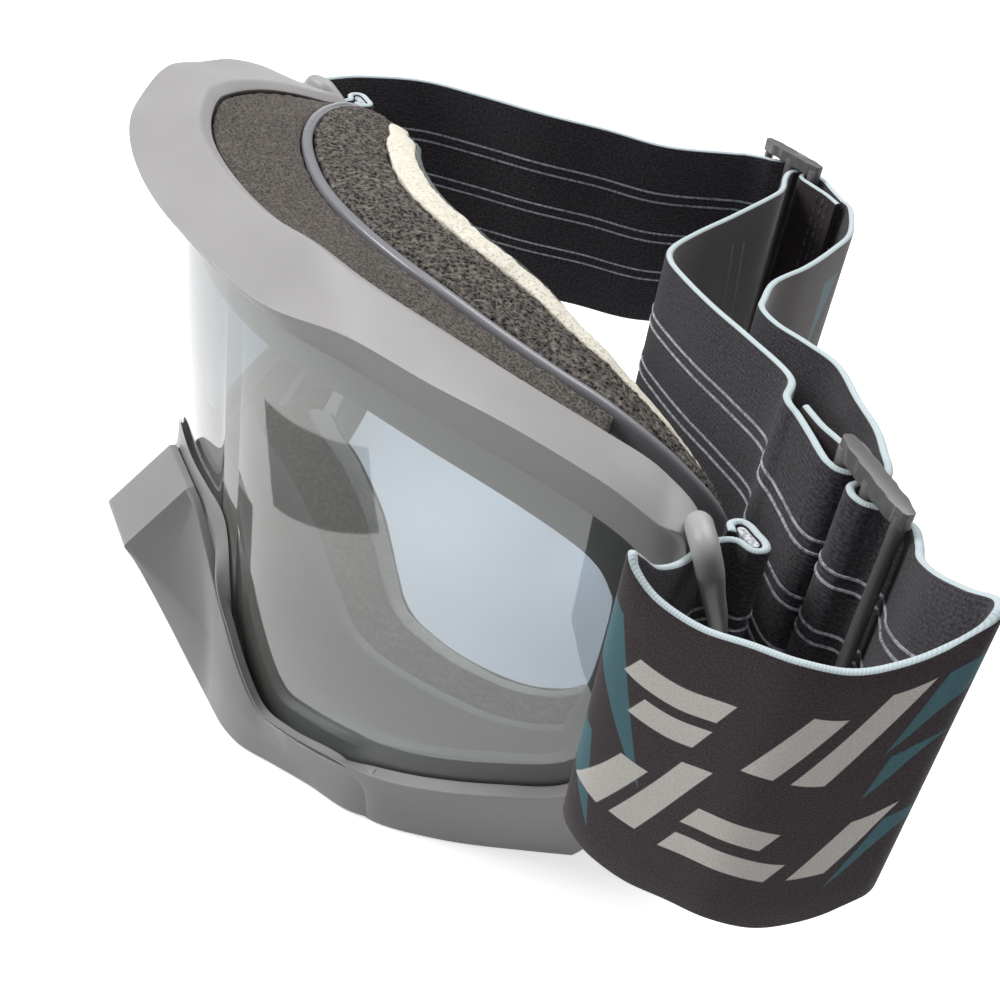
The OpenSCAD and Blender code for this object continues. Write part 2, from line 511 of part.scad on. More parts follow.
// Left strap: from its slot forward to a fold, out and back to a corner, and on to the left slider;
// through the slider and round behind the wearer's head to its sewn end on the right slider
fold_x = post_x + 8.8;
fold_y = post_y - 21.8;
corner = [post_x + 42, post_y + 4.6];
left_strap = [
  concat(with_top(roll_route, strap_top), [
    [slot_x + 0.75, post_y - 1.6, strap_top], [post_x + 0.85, post_y - 7.1, strap_top + 0.4],
    [fold_x - 4.4, fold_y + 7.8, strap_top + 4], [fold_x - 1.4, fold_y + 2.4, strap_top + 9.4],
    [fold_x, fold_y, strap_top + 11.6], [fold_x + 2.1, fold_y - 0.2, strap_top + 10.2],
    [fold_x + 5.8, fold_y + 1.4, strap_top + 8.2], [fold_x + 11.3, fold_y + 4.6, strap_top + 7.5],
    [fold_x + 17, fold_y + 8, strap_top + 8.9], [fold_x + 22.2, fold_y + 11.4, strap_top + 9.9],
    [corner[0] - 7.1, corner[1] - 10.2, strap_top + 10.6], [corner[0] - 4.3, corner[1] - 6, strap_top + 13.4],
    [corner[0] - 1.9, corner[1] - 2.6, strap_top + 17.6], [corner[0], corner[1], strap_top + 22.8],
    [corner[0] - 2, corner[1] + 2.4, strap_top + 23.4]
  ]),
  [
    [corner[0] - 7, corner[1] + 3.4, strap_top + 20.6], [corner[0] - 14, corner[1] + 6.2, strap_top + 16.6]
  ],
  thread(left_mid, left_turn, left_top,
    [[bar_pitch + 6.5, 0.2], [bar_pitch + 3.5, 1.6], [bar_pitch, bar_r + 0.1], [bar_pitch - 2.2, 1.9]],
    [[-2.6, 2.2], [-3.8, 4.4], [-6, 6.2]]),
  concat([turned(left_mid, left_turn, -9.5, 7.4, left_top)], [
    [left_mid[0] - 16.5, left_mid[1] + 14.6, strap_top + 10], [left_mid[0] - 26.5, left_mid[1] + 19, strap_top + 8.5],
    [54, left_mid[1] + 25, strap_top + 6.5], [44, left_mid[1] + 26, strap_top + 5],
    [34, left_mid[1] + 27, strap_top + 3], [26, left_mid[1] + 29.4, strap_top + 1.6],
    [21, left_mid[1] + 33.4, strap_top + 0.6], [14, left_mid[1] + 41, strap_top],
    [6, right_mid[1] - 39, strap_top - 2], [-4, right_mid[1] - 24, strap_top - 4],
    [-14, right_mid[1] - 11.4, strap_top - 6]
  ]),
  eye(right_bar, -8, 1, right_top)
];

// Right strap: round its post and back to the right slider, through it, and to its end on the left slider
right_strap = [
  concat([for (p = with_top(roll_route, strap_top)) [-p[0], p[1], p[2]]], [
    [-slot_x - 0.6, post_y - 2.4, strap_top], [-slot_x - 1.4, post_y - 5.6, strap_top],
    [-post_x - 1, post_y - 8.4, strap_top], [-post_x - 4, post_y - 8.2, strap_top],
    [-post_x - 7.2, post_y - 4, strap_top + 0.4], [-post_x - 10.2, post_y + 4, strap_top + 0.4],
    [-post_x - 12, post_y + 13.4, strap_top], [-post_x - 11, post_y + 28.4, strap_top - 1]
  ]),
  [
    [-post_x - 4.5, post_y + 41.4, strap_top - 2.5], [-post_x + 4.9, post_y + 55.4, strap_top - 4],
    [right_mid[0] - 22, right_mid[1] - 42.4, strap_top - 6], [right_mid[0] - 15, right_mid[1] - 28.4, strap_top - 8]
  ],
  thread(right_mid, right_turn, right_top,
    [[bar_pitch + 3.5, 10.6], [bar_pitch + 1.8, 7], [bar_pitch - 0.9, 3.8], [bar_pitch - 2.9, 2.2]],
    [[-2.6, 2.2], [-3.5, 4.6], [-6, 8]]),
  concat([turned(right_mid, right_turn, -9.5, 12, right_top)], [
    [-35, right_mid[1] - 18.4, strap_top - 6], [-22, right_mid[1] - 39.4, strap_top - 4],
    [-12, right_mid[1] - 55.4, strap_top - 2], [-3, left_mid[1] + 27, strap_top], [4, left_mid[1] + 22, strap_top + 1],
    [14, left_mid[1] + 19.6, strap_top + 2], [28, left_mid[1] + 16.8, strap_top + 4],
    [42, left_mid[1] + 14.8, strap_top + 6], [58, left_mid[1] + 11.4, strap_top + 8.6]
  ]),
  eye(left_bar, 180 + left_turn, 1, left_top)
];

module strap_left_front() {
  color(print_c) ribbon(left_strap, 0);
}

module strap_left_back() {
  color(print_c) ribbon(left_strap, 1);
}

module strap_left_wrap() {
  color(print_c) ribbon(left_strap, 2);
}

module strap_left_tail() {
  color(print_c) ribbon(left_strap, 3);
}

module strap_left_end() {
  color(print_c) ribbon(left_strap, 4);
}

module strap_right_front() {
  color(print_c) ribbon(right_strap, 0);
}

module strap_right_back() {
  color(print_c) ribbon(right_strap, 1);
}

module strap_right_wrap() {
  color(print_c) ribbon(right_strap, 2);
}

module strap_right_tail() {
  color(print_c) ribbon(right_strap, 3);
}

module strap_right_end() {
  color(print_c) ribbon(right_strap, 4);
}

// A slider: three bars between two end pieces
module slider(c, a, z) {
  color("#6a6a6a") translate([c[0], c[1], z - strap_w]) rotate(a) union() {
    for (s = [-bar_pitch, 0, bar_pitch])
      translate([s, 0, -0.6 - slider_end])
        cylinder(d = s > 0 ? outer_bar_d : bar_d, h = strap_w + 1.2 + 2 * slider_end);
    for (low = [-0.6 - slider_end, strap_w + 0.6])
      translate([0, 0, low]) {
        translate([-bar_pitch, -slider_t / 2, 0]) cube([2 * bar_pitch, slider_t, slider_end]);
        for (s = [-bar_pitch, bar_pitch])
          translate([s, 0, 0]) cylinder(d = slider_t, h = slider_end);
      }
  }
}

module slider_left() {
  slider(left_mid, left_turn, left_top);
}

module slider_right() {
  slider(right_mid, right_turn, right_top);
}

// Middle of the whole part in plan, which is its origin
flat = [for (s = [left_strap, right_strap], f = faces(joined(s))) each f];
xs = [for (p = flat) p[0]];
ys = [for (p = flat) p[1]];
origin = [(min(xs) + max(xs)) / 2, (max(ys) + beak_y) / 2, 0];

module placed() {
  translate(-origin) children();
}

placed() outer_frame();
placed() inner_frame();
placed() lens();
placed() nose_guard();
placed() top_vent_foam();
placed() bottom_vent_foam_left();
placed() bottom_vent_foam_right();
placed() face_foam_base();
placed() face_foam_mid();
placed() face_fleece();
placed() outrigger_left();
placed() outrigger_right();
placed() strap_anchor_left();
placed() strap_anchor_right();
placed() strap_left_front();
placed() strap_left_back();
placed() strap_left_wrap();
placed() strap_left_tail();
placed() strap_left_end();
placed() strap_right_front();
placed() strap_right_back();
placed() strap_right_wrap();
placed() strap_right_tail();
placed() strap_right_end();
placed() slider_left();
placed() slider_right();
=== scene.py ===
"""Watercraft goggles standing on a pale floor: the looks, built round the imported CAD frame.

Sizes in the classes are in millimetres, in the design frame of the part's source: the lens bends round an upright
axis at (0, LENS_RADIUS), +X is the wearer's left, -Y is where the wearer looks and the table is at height 0.
Meshes are in metres in the row frame.
"""

import itertools
import logging
import math
from dataclasses import dataclass
from enum import Enum
from typing import Any, Sequence

import bmesh
import bpy
import numpy as np
from mathutils import Matrix, Vector
from numpy.typing import NDArray


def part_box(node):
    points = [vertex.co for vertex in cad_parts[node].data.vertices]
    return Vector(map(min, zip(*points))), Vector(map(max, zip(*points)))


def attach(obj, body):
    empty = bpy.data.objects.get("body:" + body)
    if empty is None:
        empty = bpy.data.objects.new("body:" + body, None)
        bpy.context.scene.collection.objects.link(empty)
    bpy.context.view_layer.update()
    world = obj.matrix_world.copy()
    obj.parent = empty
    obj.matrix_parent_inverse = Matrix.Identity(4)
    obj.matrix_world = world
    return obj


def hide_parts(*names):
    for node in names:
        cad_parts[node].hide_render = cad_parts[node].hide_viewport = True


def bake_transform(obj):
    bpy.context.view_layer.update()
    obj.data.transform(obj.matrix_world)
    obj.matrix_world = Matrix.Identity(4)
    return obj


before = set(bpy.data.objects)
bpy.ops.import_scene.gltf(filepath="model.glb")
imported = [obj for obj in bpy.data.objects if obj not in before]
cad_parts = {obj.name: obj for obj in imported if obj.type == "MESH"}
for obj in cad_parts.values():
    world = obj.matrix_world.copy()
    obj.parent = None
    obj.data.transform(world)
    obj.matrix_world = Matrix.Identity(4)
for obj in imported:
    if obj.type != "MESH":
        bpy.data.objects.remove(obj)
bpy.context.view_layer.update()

Array = NDArray[np.float64]
Material, Piece = bpy.types.Material, bpy.types.Object
Node, Socket, Tree = bpy.types.Node, bpy.types.NodeSocket, bpy.types.NodeTree
LOG = logging.getLogger("goggles")
MM = 0.001
LENS_RADIUS = 87.8
LENS_THICKNESS = 1.5
SEAT_GAP = 0.3
SIDE_ANGLE = 66.5
BROW_HEIGHT = 89.2
NOTCH_HEIGHT = 45.5
ARCH_HEIGHT = 30.5
WALL = 2.2
RIM_RADIUS = 63.7
RIM_HEIGHT = 96.8
FOAM = 20.5
STRAP_TOP = 79.0
STRAP_WIDTH = 50.0
STRAP_THICKNESS = 1.5
FRONT_SEAT = LENS_RADIUS + SEAT_GAP
BACK_SEAT = LENS_RADIUS - LENS_THICKNESS - SEAT_GAP
DEGREE = LENS_RADIUS * math.pi / 180
WAVE = 2 * math.pi / 20
NOISE_CELLS = 4096
NOISE_SHIFT = 1000.0
NOISE_STRIDES = np.array([73, 1579, 911])
ROUNDING_SHARE = 0.45
SENSOR_MM = 36.0


class Tint(str, Enum):
    """Colours seen on the goggles, as sRGB hex."""

    FRAME = "#B5B3B3"
    INNER = "#BEBBB2"
    BEAD = "#8F8F96"
    LENS = "#D3DBE2"
    # The foam colours come in pairs; each dark one is painted shade that fills that foam's pits.
    VENT_LIGHT = "#7C7671"
    VENT_DARK = "#292624"
    FOAM_LIGHT = "#8C8680"
    FOAM_DARK = "#1A1817"
    CREAM_LIGHT = "#F3EEDF"
    CREAM_DARK = "#C9C1AC"
    FLEECE_LIGHT = "#7F8E8B"
    FLEECE_DARK = "#4C5856"
    PRINT = "#352E31"
    PRINT_SPECK = "#5A5054"
    TEAL = "#55808A"
    MOTIF = "#F3EFE8"
    PILE = "#363337"
    PILE_LIGHT = "#77737A"
    # Painted highlight: the pale edge colour stands in for light shining through the strap's fuzzy edge fibres.
    EDGE = "#D3E2E7"
    SILICONE = "#D6DCE2"
    ROD = "#DDE1E4"
    SLIDER = "#6B6A69"
    THREAD = "#4A474B"


def design_origin() -> Array:
    """Finds where the row's origin lies in the design frame, from the lens: its middle is x 0 and its front is y 0.

    Returns:
        The offset in millimetres that turns design places into row places when it is taken off.
    """
    low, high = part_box("lens")
    return np.array([-(low.x + high.x) / 2, -low.y, 0.0]) / MM


ORIGIN = design_origin()


def to_row(points: Array) -> Array:
    """Turns design places in millimetres into row places in metres."""
    return (np.asarray(points, float) - ORIGIN) * MM


def place(polar: Array) -> Array:
    """Turns (angle in degrees, distance, height) round the lens axis into x, y, z.

    x is the distance times the sine of the angle, and y is the lens radius less the distance times its cosine.
    """
    angle = np.radians(polar[..., 0])
    return np.stack(
        [polar[..., 1] * np.sin(angle), LENS_RADIUS - polar[..., 1] * np.cos(angle), polar[..., 2]], -1
    )


def polar(x: float, y: float, z: float) -> list[float]:
    """Turns a place into its angle in degrees, distance and height round the lens axis."""
    return [math.degrees(math.atan2(x, LENS_RADIUS - y)), math.hypot(x, LENS_RADIUS - y), z]


def smooth(points: Array, steps: int, closed: bool) -> Array:
    """Carries a Catmull-Rom curve through points: each slope is half the gap between a point's neighbours.

    Args:
        points: The points, one row each.
        steps: How many samples each stretch gets.
        closed: Whether the curve runs back to its first point.

    Returns:
        The samples, one row each.
    """
    p = np.asarray(points, float)
    if closed:
        a, b, c, d = np.roll(p, 1, 0), p, np.roll(p, -1, 0), np.roll(p, -2, 0)
    else:
        e = np.vstack([2 * p[0] - p[1], p, 2 * p[-1] - p[-2]])
        a, b, c, d = e[:-3], e[1:-2], e[2:-1], e[3:]
    t = (np.arange(steps) / steps)[None, :, None]
    a, b, c, d = (v[:, None, :] for v in (a, b, c, d))
    out = 0.5 * (2 * b + (c - a) * t + (2 * a - 5 * b + 4 * c - d) * t**2 + (3 * b - a - 3 * c + d) * t**3)
    out = out.reshape(-1, p.shape[1])
    return out if closed else np.vstack([out, p[-1:]])


def whole(half: Array) -> Array:
    """Makes a half ring, from the forehead to the nose, whole by its mirror image."""
    return np.vstack([half, half[-2:0:-1] * [-1, 1, 1]])


def mirrored(half: Array) -> Array:
    """Makes a half strip whole: from the far end over the middle to the near end."""
    return np.vstack([half[:0:-1] * [-1, 1, 1], half])


def ring(half: Array, steps: int = 10) -> Array:
    """Carries a smooth closed ring through a half ring and its mirror image, never below the table."""
    out = smooth(whole(np.asarray(half, float)), steps, True)
    out[:, 2] = np.maximum(out[:, 2], 0)
    return out


def rounded(section: Array, radii: Sequence[float], segments: int = 4) -> Array:
    """Rounds the corners of closed sections: each corner gives way to a parabola between points on its two edges.

    Args:
        section: Stations, corners, x y z.
        radii: How far along its edges each corner's rounding reaches, in millimetres.
        segments: Pieces in each rounding.

    Returns:
        Stations, points, x y z.
    """
    before, after = np.roll(section, 1, 1) - section, np.roll(section, -1, 1) - section
    out = []
    for k, radius in enumerate(radii):
        corner = section[:, k]
        arms = []
        for arm in (before[:, k], after[:, k]):
            length = np.linalg.norm(arm, axis=1, keepdims=True)
            arms.append(arm * np.minimum(radius / np.maximum(length, 1e-6), ROUNDING_SHARE))
        t = np.linspace(0, 1, segments + 1)[None, :, None]
        start, end = (corner + arms[0])[:, None], (corner + arms[1])[:, None]
        out.append((1 - t) ** 2 * start + 2 * t * (1 - t) * corner[:, None] + t**2 * end)
    return np.concatenate(out, 1)


def filled(section: Array, pitch: float) -> Array:
    """Adds points along the edges of closed sections, so that neighbours lie about a pitch apart.

    Args:
        section: Stations, points, x y z.
        pitch: The wished distance in millimetres.

    Returns:
        Stations, more points, x y z.
    """
    after = np.roll(section, -1, 1)
    lengths = np.linalg.norm(after - section, axis=2).mean(0)
    out = []
    for k, length in enumerate(lengths):
        t = np.arange(max(1, round(length / pitch)))[None, :, None]
        out.append(section[:, k, None] + (after[:, k] - section[:, k])[:, None] * t / t.shape[1])
    return np.concatenate(out, 1)


def noise(points: Array, size: float, seed: int) -> Array:
    """Gives even random values from -1 to 1 in space: trilinear between seeded values on a lattice.

    Args:
        points: Places in millimetres.
        size: Width of one cell of the lattice in millimetres.
        seed: Seed of the values.

    Returns:
        One value for each place.
    """
    table = np.random.default_rng(seed).uniform(-1, 1, NOISE_CELLS)
    scaled = points / size + NOISE_SHIFT
    cell = np.floor(scaled).astype(np.int64)
    part = scaled - cell
    part = part * part * (3 - 2 * part)
    total = np.zeros(points.shape[:-1])
    for corner in itertools.product((0, 1), repeat=3):
        key = (cell + np.array(corner)) @ NOISE_STRIDES % NOISE_CELLS
        total += table[key] * np.abs(1 - np.array(corner) - part).prod(-1)
    return total


def grid_faces(rows: int, columns: int, close_rows: bool, close_columns: bool) -> NDArray[np.int64]:
    """Gives the four corners of each face of a grid of points, row by row."""
    i = np.arange(rows if close_rows else rows - 1)[:, None]
    j = np.arange(columns if close_columns else columns - 1)[None, :]
    a = i * columns + j
    b = i * columns + (j + 1) % columns
    c = ((i + 1) % rows) * columns + (j + 1) % columns
    d = ((i + 1) % rows) * columns + j
    return np.stack([a, d, c, b], -1).reshape(-1, 4)


def signed_volume(mesh: bpy.types.Mesh) -> float:
    """Adds up the tetrahedra from the origin to each triangle: negative where the faces point inwards."""
    mesh.calc_loop_triangles()
    tri = np.zeros(len(mesh.loop_triangles) * 3, np.int32)
    mesh.loop_triangles.foreach_get("vertices", tri)
    co = np.zeros(len(mesh.vertices) * 3, np.float32)
    mesh.vertices.foreach_get("co", co)
    p = co.reshape(-1, 3)[tri].reshape(-1, 3, 3).astype(float)
    return float(np.einsum("ij,ij->i", p[:, 0], np.cross(p[:, 1], p[:, 2])).sum() / 6)


def put(name: str, data: Any) -> Piece:
    """Puts a mesh, a lamp or a camera into the scene as an object."""
    obj = bpy.data.objects.new(name, data)
    bpy.context.scene.collection.objects.link(obj)
    return obj


def linked(name: str, mesh: bpy.types.Mesh, smooth_angle: float | None = None) -> Piece:
    """Links a mesh as an object at the origin, its faces outwards, shaded smooth up to an angle in degrees."""
    mesh.update()
    if signed_volume(mesh) < 0:
        mesh.flip_normals()
    mesh.shade_smooth()
    if smooth_angle is not None:
        mesh.set_sharp_from_angle(angle=math.radians(smooth_angle))
    LOG.info("piece %s: %d faces", name, len(mesh.polygons))
    return put(name, mesh)


@dataclass
class Surface:
    """A closed piece from a grid of design places: stations, points of the section, x y z."""

    name: str
    grid: Array
    close_rows: bool = True
    smooth_angle: float | None = None
    uv: Array | None = None
    slots: NDArray[np.int64] | None = None

    def build(self) -> Piece:
        """Makes the object; an open grid gets a cap at each end."""
        rows, columns = self.grid.shape[:2]
        faces = grid_faces(rows, columns, self.close_rows, True).tolist()
        if not self.close_rows:
            faces.append(list(range(columns)))
            faces.append([(rows - 1) * columns + k for k in range(columns - 1, -1, -1)])
        mesh = bpy.data.meshes.new(self.name)
        mesh.from_pydata(to_row(self.grid.reshape(-1, 3)).tolist(), [], faces)
        if self.uv is not None:
            layer = mesh.uv_layers.new(name="UVMap")
            index = np.zeros(len(mesh.loops), np.int32)
            mesh.loops.foreach_get("vertex_index", index)
            layer.data.foreach_set("uv", self.uv.reshape(-1, 2)[index].astype(np.float32).ravel())
        if self.slots is not None:
            per_face = np.zeros(len(faces), np.int32)
            count = rows if self.close_rows else rows - 1
            per_face[: count * columns] = np.tile(self.slots, count)
            mesh.polygons.foreach_set("material_index", per_face)
        return linked(self.name, mesh, self.smooth_angle)


def plate(name: str, outline: Array, low: float, high: float, bevel: float) -> Piece:
    """Makes a flat plate with rounded edges from its outline in plan.

    Args:
        name: The piece's name.
        outline: Corners in design millimetres.
        low: Height of its underside.
        high: Height of its top.
        bevel: Radius of its edges.
    """
    build = bmesh.new()
    flat = np.column_stack([outline, np.full(len(outline), low)])
    base = build.faces.new([build.verts.new(v) for v in to_row(flat).tolist()])
    grown_face = bmesh.ops.extrude_face_region(build, geom=[base])
    up = [v for v in grown_face["geom"] if isinstance(v, bmesh.types.BMVert)]
    bmesh.ops.translate(build, verts=up, vec=(0, 0, (high - low) * MM))
    bmesh.ops.recalc_face_normals(build, faces=build.faces)
    bmesh.ops.bevel(
        build, geom=list(build.edges), offset=bevel * MM, segments=3, profile=0.5, affect="EDGES", clamp_overlap=True
    )
    mesh = bpy.data.meshes.new(name)
    build.to_mesh(mesh)
    build.free()
    return linked(name, mesh, 35)


def tube(name: str, route: Array, radii: Array, aside: Sequence[float] = (0.45, 0.9, 0.0)) -> Piece:
    """Makes a round bar along a route with its own radius at each point; its sections lie square to the route.

    Args:
        name: The piece's name.
        route: Its middle line in design millimetres.
        radii: The radius at each point.
        aside: A direction that the route never takes.
    """
    sides = 20
    ahead = np.gradient(route, axis=0)
    ahead /= np.linalg.norm(ahead, axis=1, keepdims=True)
    across = np.cross(ahead, aside)
    across /= np.linalg.norm(across, axis=1, keepdims=True)
    third = np.cross(ahead, across)
    turn = np.linspace(0, 2 * math.pi, sides, endpoint=False)[None, :, None]
    grid = route[:, None] + radii[:, None, None] * (np.cos(turn) * across[:, None] + np.sin(turn) * third[:, None])
    return Surface(name, grid, close_rows=False, smooth_angle=50).build()


def joined(name: str, pieces: Sequence[Piece]) -> Piece:
    """Joins loose shells of one moulding into one object."""
    bpy.ops.object.select_all(action="DESELECT")
    for piece in pieces:
        piece.select_set(True)
    bpy.context.view_layer.objects.active = pieces[0]
    bpy.ops.object.join()
    pieces[0].name = name
    return pieces[0]


def colour(code: str) -> tuple[float, float, float, float]:
    """Turns an sRGB hex colour into linear red, green, blue and alpha."""
    parts = [int(code[i : i + 2], 16) / 255 for i in (1, 3, 5)]
    linear = [c / 12.92 if c <= 0.04045 else ((c + 0.055) / 1.055) ** 2.4 for c in parts]
    return (linear[0], linear[1], linear[2], 1.0)


def add(tree: Tree, kind: str, links: dict[str, Any] | None = None, **settings: Any) -> Node:
    """Adds a shader node with its settings, socket values and links.

    Args:
        tree: The node tree.
        kind: The node's type without its prefix.
        links: Socket name or number to a value, or to the output socket that feeds it.
        settings: The node's own properties.
    """
    node = tree.nodes.new("ShaderNode" + kind)
    for key, value in settings.items():
        setattr(node, key, value)
    for key, value in (links or {}).items():
        socket = node.inputs[int(key)] if key.isdigit() else node.inputs[key]
        if isinstance(value, Socket):
            tree.links.new(value, socket)
        else:
            socket.default_value = value
    return node


def blend_colour(tree: Tree, share: Any, low: Any, high: Any) -> Socket:
    """Mixes two colours, each a hex code or a socket, by a share from 0 to 1."""
    node = add(tree, "Mix", {"Factor": share}, data_type="RGBA")
    for name, value in (("A", low), ("B", high)):
        if isinstance(value, Socket):
            tree.links.new(value, node.inputs[name])
        else:
            node.inputs[name].default_value = colour(value)
    return node.outputs["Result"]


def maths(tree: Tree, operation: str, *values: Any) -> Socket:
    """Adds a math node over values or sockets."""
    return add(tree, "Math", {str(k): v for k, v in enumerate(values)}, operation=operation).outputs[0]


def spread(tree: Tree, value: Any, low: float, high: float, to: Sequence[float] = (0, 1)) -> Any:
    """Maps a value from one range to another, held at its ends."""
    links = {"Value": value, "From Min": low, "From Max": high, "To Min": to[0], "To Max": to[1]}
    return add(tree, "MapRange", links).outputs["Result"]


def principled(tree: Tree, **links: Any) -> Node:
    """Adds a Principled shader; an underscore in a name stands for a space."""
    return add(tree, "BsdfPrincipled", {k.replace("_", " "): v for k, v in links.items()})


def on_object(tree: Tree) -> Socket:
    """Gives the place on the object, in metres."""
    return add(tree, "TexCoord").outputs["Object"]


def on_strap(tree: Tree) -> Socket:
    """Gives the place on the strap, in millimetres along it and down from its top edge."""
    return add(tree, "UVMap", uv_map="UVMap").outputs["UV"]


def clouds(tree: Tree, at: Any, scale: float, detail: float = 2.0, rough: float = 0.5, output: str = "Fac") -> Socket:
    """Adds noise over places, with so many cells to one unit of them."""
    links = {"Vector": at, "Scale": scale, "Detail": detail, "Roughness": rough}
    return add(tree, "TexNoise", links).outputs[output]


def waves(tree: Tree, pitch: float, distortion: float, detail: float, way: str) -> Socket:
    """Adds bands over the strap, a pitch in millimetres apart; at a scale of WAVE they repeat once in each unit."""
    links = {"Vector": on_strap(tree), "Scale": WAVE / pitch, "Distortion": distortion, "Detail": detail}
    return add(tree, "TexWave", links, bands_direction=way).outputs["Fac"]


def relief(tree: Tree, height: Any, strength: float, distance: float) -> Socket:
    """Gives the normal of a bumpy surface, its height in shares of a distance in metres."""
    return add(tree, "Bump", {"Height": height, "Strength": strength, "Distance": distance}).outputs["Normal"]


def mixed(tree: Tree, share: Any, low: Node, high: Node) -> Node:
    """Mixes two shaders by a share from 0 to 1."""
    return add(tree, "MixShader", {"Fac": share, "1": low.outputs[0], "2": high.outputs[0]})


@dataclass(frozen=True)
class Finish:
    """A surface's looks: a name and the shader that paint() makes."""

    name: str

    def paint(self, tree: Tree) -> Node:
        """Makes the shader in an empty node tree."""
        raise NotImplementedError

    def build(self) -> Material:
        """Makes the material."""
        material = bpy.data.materials.new(self.name)
        material.use_nodes = True
        tree = material.node_tree
        tree.nodes.clear()
        out = tree.nodes.new("ShaderNodeOutputMaterial")
        tree.links.new(self.paint(tree).outputs[0], out.inputs["Surface"])
        return material


@dataclass(frozen=True)
class SatinPlastic(Finish):
    """Injection-moulded nylon with a fine spark-eroded grain: an even satin with soft highlights."""

    shade: str
    rough: float = 0.42
    grain_mm: float = 0.22
    grain_depth: float = 0.10
    # Pale grey mixed into the convex edges: a painted highlight.
    worn_edge: str = "#C9C8C6"

    def paint(self, tree: Tree) -> Node:
        """Makes the shader: fine grain in the bump, broad clouds in the colour and the roughness, and a painted
        highlight that lightens the convex edges.
        """
        at = on_object(tree)
        grain = clouds(tree, at, 1 / (self.grain_mm * MM), 3.0)
        cloud = clouds(tree, at, 55.0)
        # Convex edges are painted paler: a painted highlight for the light that rounded edges catch.
        edge = spread(tree, add(tree, "NewGeometry").outputs["Pointiness"], 0.51, 0.6, (0, 0.35))
        base = blend_colour(tree, spread(tree, cloud, 0.3, 0.7, (0.94, 1.0)), "#000000", self.shade)
        rough = spread(tree, cloud, 0.3, 0.7, (self.rough - 0.04, self.rough + 0.05))
        return principled(
            tree, Base_Color=blend_colour(tree, edge, base, self.worn_edge), Roughness=rough,
            Normal=relief(tree, grain, self.grain_depth, 0.0001), IOR=1.5)


@dataclass(frozen=True)
class SmokeLens(Finish):
    """Smoke-tinted polycarbonate with a mirror coat: a pale veil of the white surroundings over a cool grey.

    The tint is what one face takes away: light passes two faces of the sheet.
    """

    name: str = "smoke_polycarbonate"
    tint: str = Tint.LENS
    veil: str = "#E6E3D6"
    index: float = 1.8
    haze: float = 0.19
    coat: float = 1.6

    def paint(self, tree: Tree) -> Node:
        """Makes the shader: a clear tint, the mirror share that Fresnel gives outside, and a trace of haze."""
        normal = relief(tree, clouds(tree, on_object(tree), 9.0, 1.0), 0.02, 0.001)
        clear = add(tree, "BsdfTransparent", {"Color": colour(self.tint)})
        gloss = add(tree, "BsdfGlossy", {"Roughness": 0.04, "Normal": normal})
        body = mixed(tree, self.haze, clear, add(tree, "BsdfDiffuse", {"Color": colour(self.veil)}))
        fresnel = add(tree, "Fresnel", {"IOR": self.index}).outputs[0]
        outside = maths(tree, "SUBTRACT", 1.0, add(tree, "NewGeometry").outputs["Backfacing"])
        coated = maths(tree, "MINIMUM", maths(tree, "MULTIPLY", fresnel, self.coat), 1.0)
        return mixed(tree, maths(tree, "MULTIPLY", coated, outside), body, gloss)


@dataclass(frozen=True)
class CellFoam(Finish):
    """Polyurethane foam with open cells: matt, pitted, without highlights."""

    light: str
    # Colour of the pits: painted shade in the open cells.
    dark: str
    cell_mm: float
    depth_mm: float
    cover: tuple[float, float]

    def paint(self, tree: Tree) -> Node:
        """Makes the shader: torn cells, with painted shade darkening the pits, and finer crumbs on top."""
        at, cell = on_object(tree), self.cell_mm * MM
        tear = clouds(tree, at, 0.9 / cell, output="Color")
        pull = (cell * 1.6,) * 3
        torn = add(tree, "VectorMath", {"0": tear, "1": pull, "2": at}, operation="MULTIPLY_ADD").outputs[0]
        cells = add(tree, "TexVoronoi", {"Vector": torn, "Scale": 1 / cell, "Randomness": 1.0}).outputs["Distance"]
        crumb = clouds(tree, at, 1.7 / cell, 4.0, 0.7)
        depth = maths(tree, "ADD", maths(tree, "MULTIPLY", cells, 0.8), maths(tree, "MULTIPLY", crumb, 0.9))
        height = spread(tree, depth, *self.cover)
        # The pits take the dark colour as painted shade; the ridges keep the light colour.
        return principled(
            tree, Base_Color=blend_colour(tree, height, self.dark, self.light), Roughness=0.95,
            Normal=relief(tree, height, 0.7, self.depth_mm * MM), Specular_IOR_Level=0.1)


@dataclass(frozen=True)
class BrushedFleece(Finish):
    """Polyester fleece: short soft hair with a pale sheen where it is seen edge-on."""

    light: str
    dark: str
    hair_mm: float = 0.5

    def paint(self, tree: Tree) -> Node:
        """Makes the shader: fine noise in colour and bump under a sheen."""
        share = spread(tree, clouds(tree, on_object(tree), 1 / (self.hair_mm * MM), 4.0, 0.65), 0.35, 0.65)
        return principled(
            tree, Base_Color=blend_colour(tree, share, self.dark, self.light), Roughness=0.9,
            Normal=relief(tree, share, 0.6, 0.0002), Sheen_Weight=0.5, Sheen_Roughness=0.5, Specular_IOR_Level=0.1)


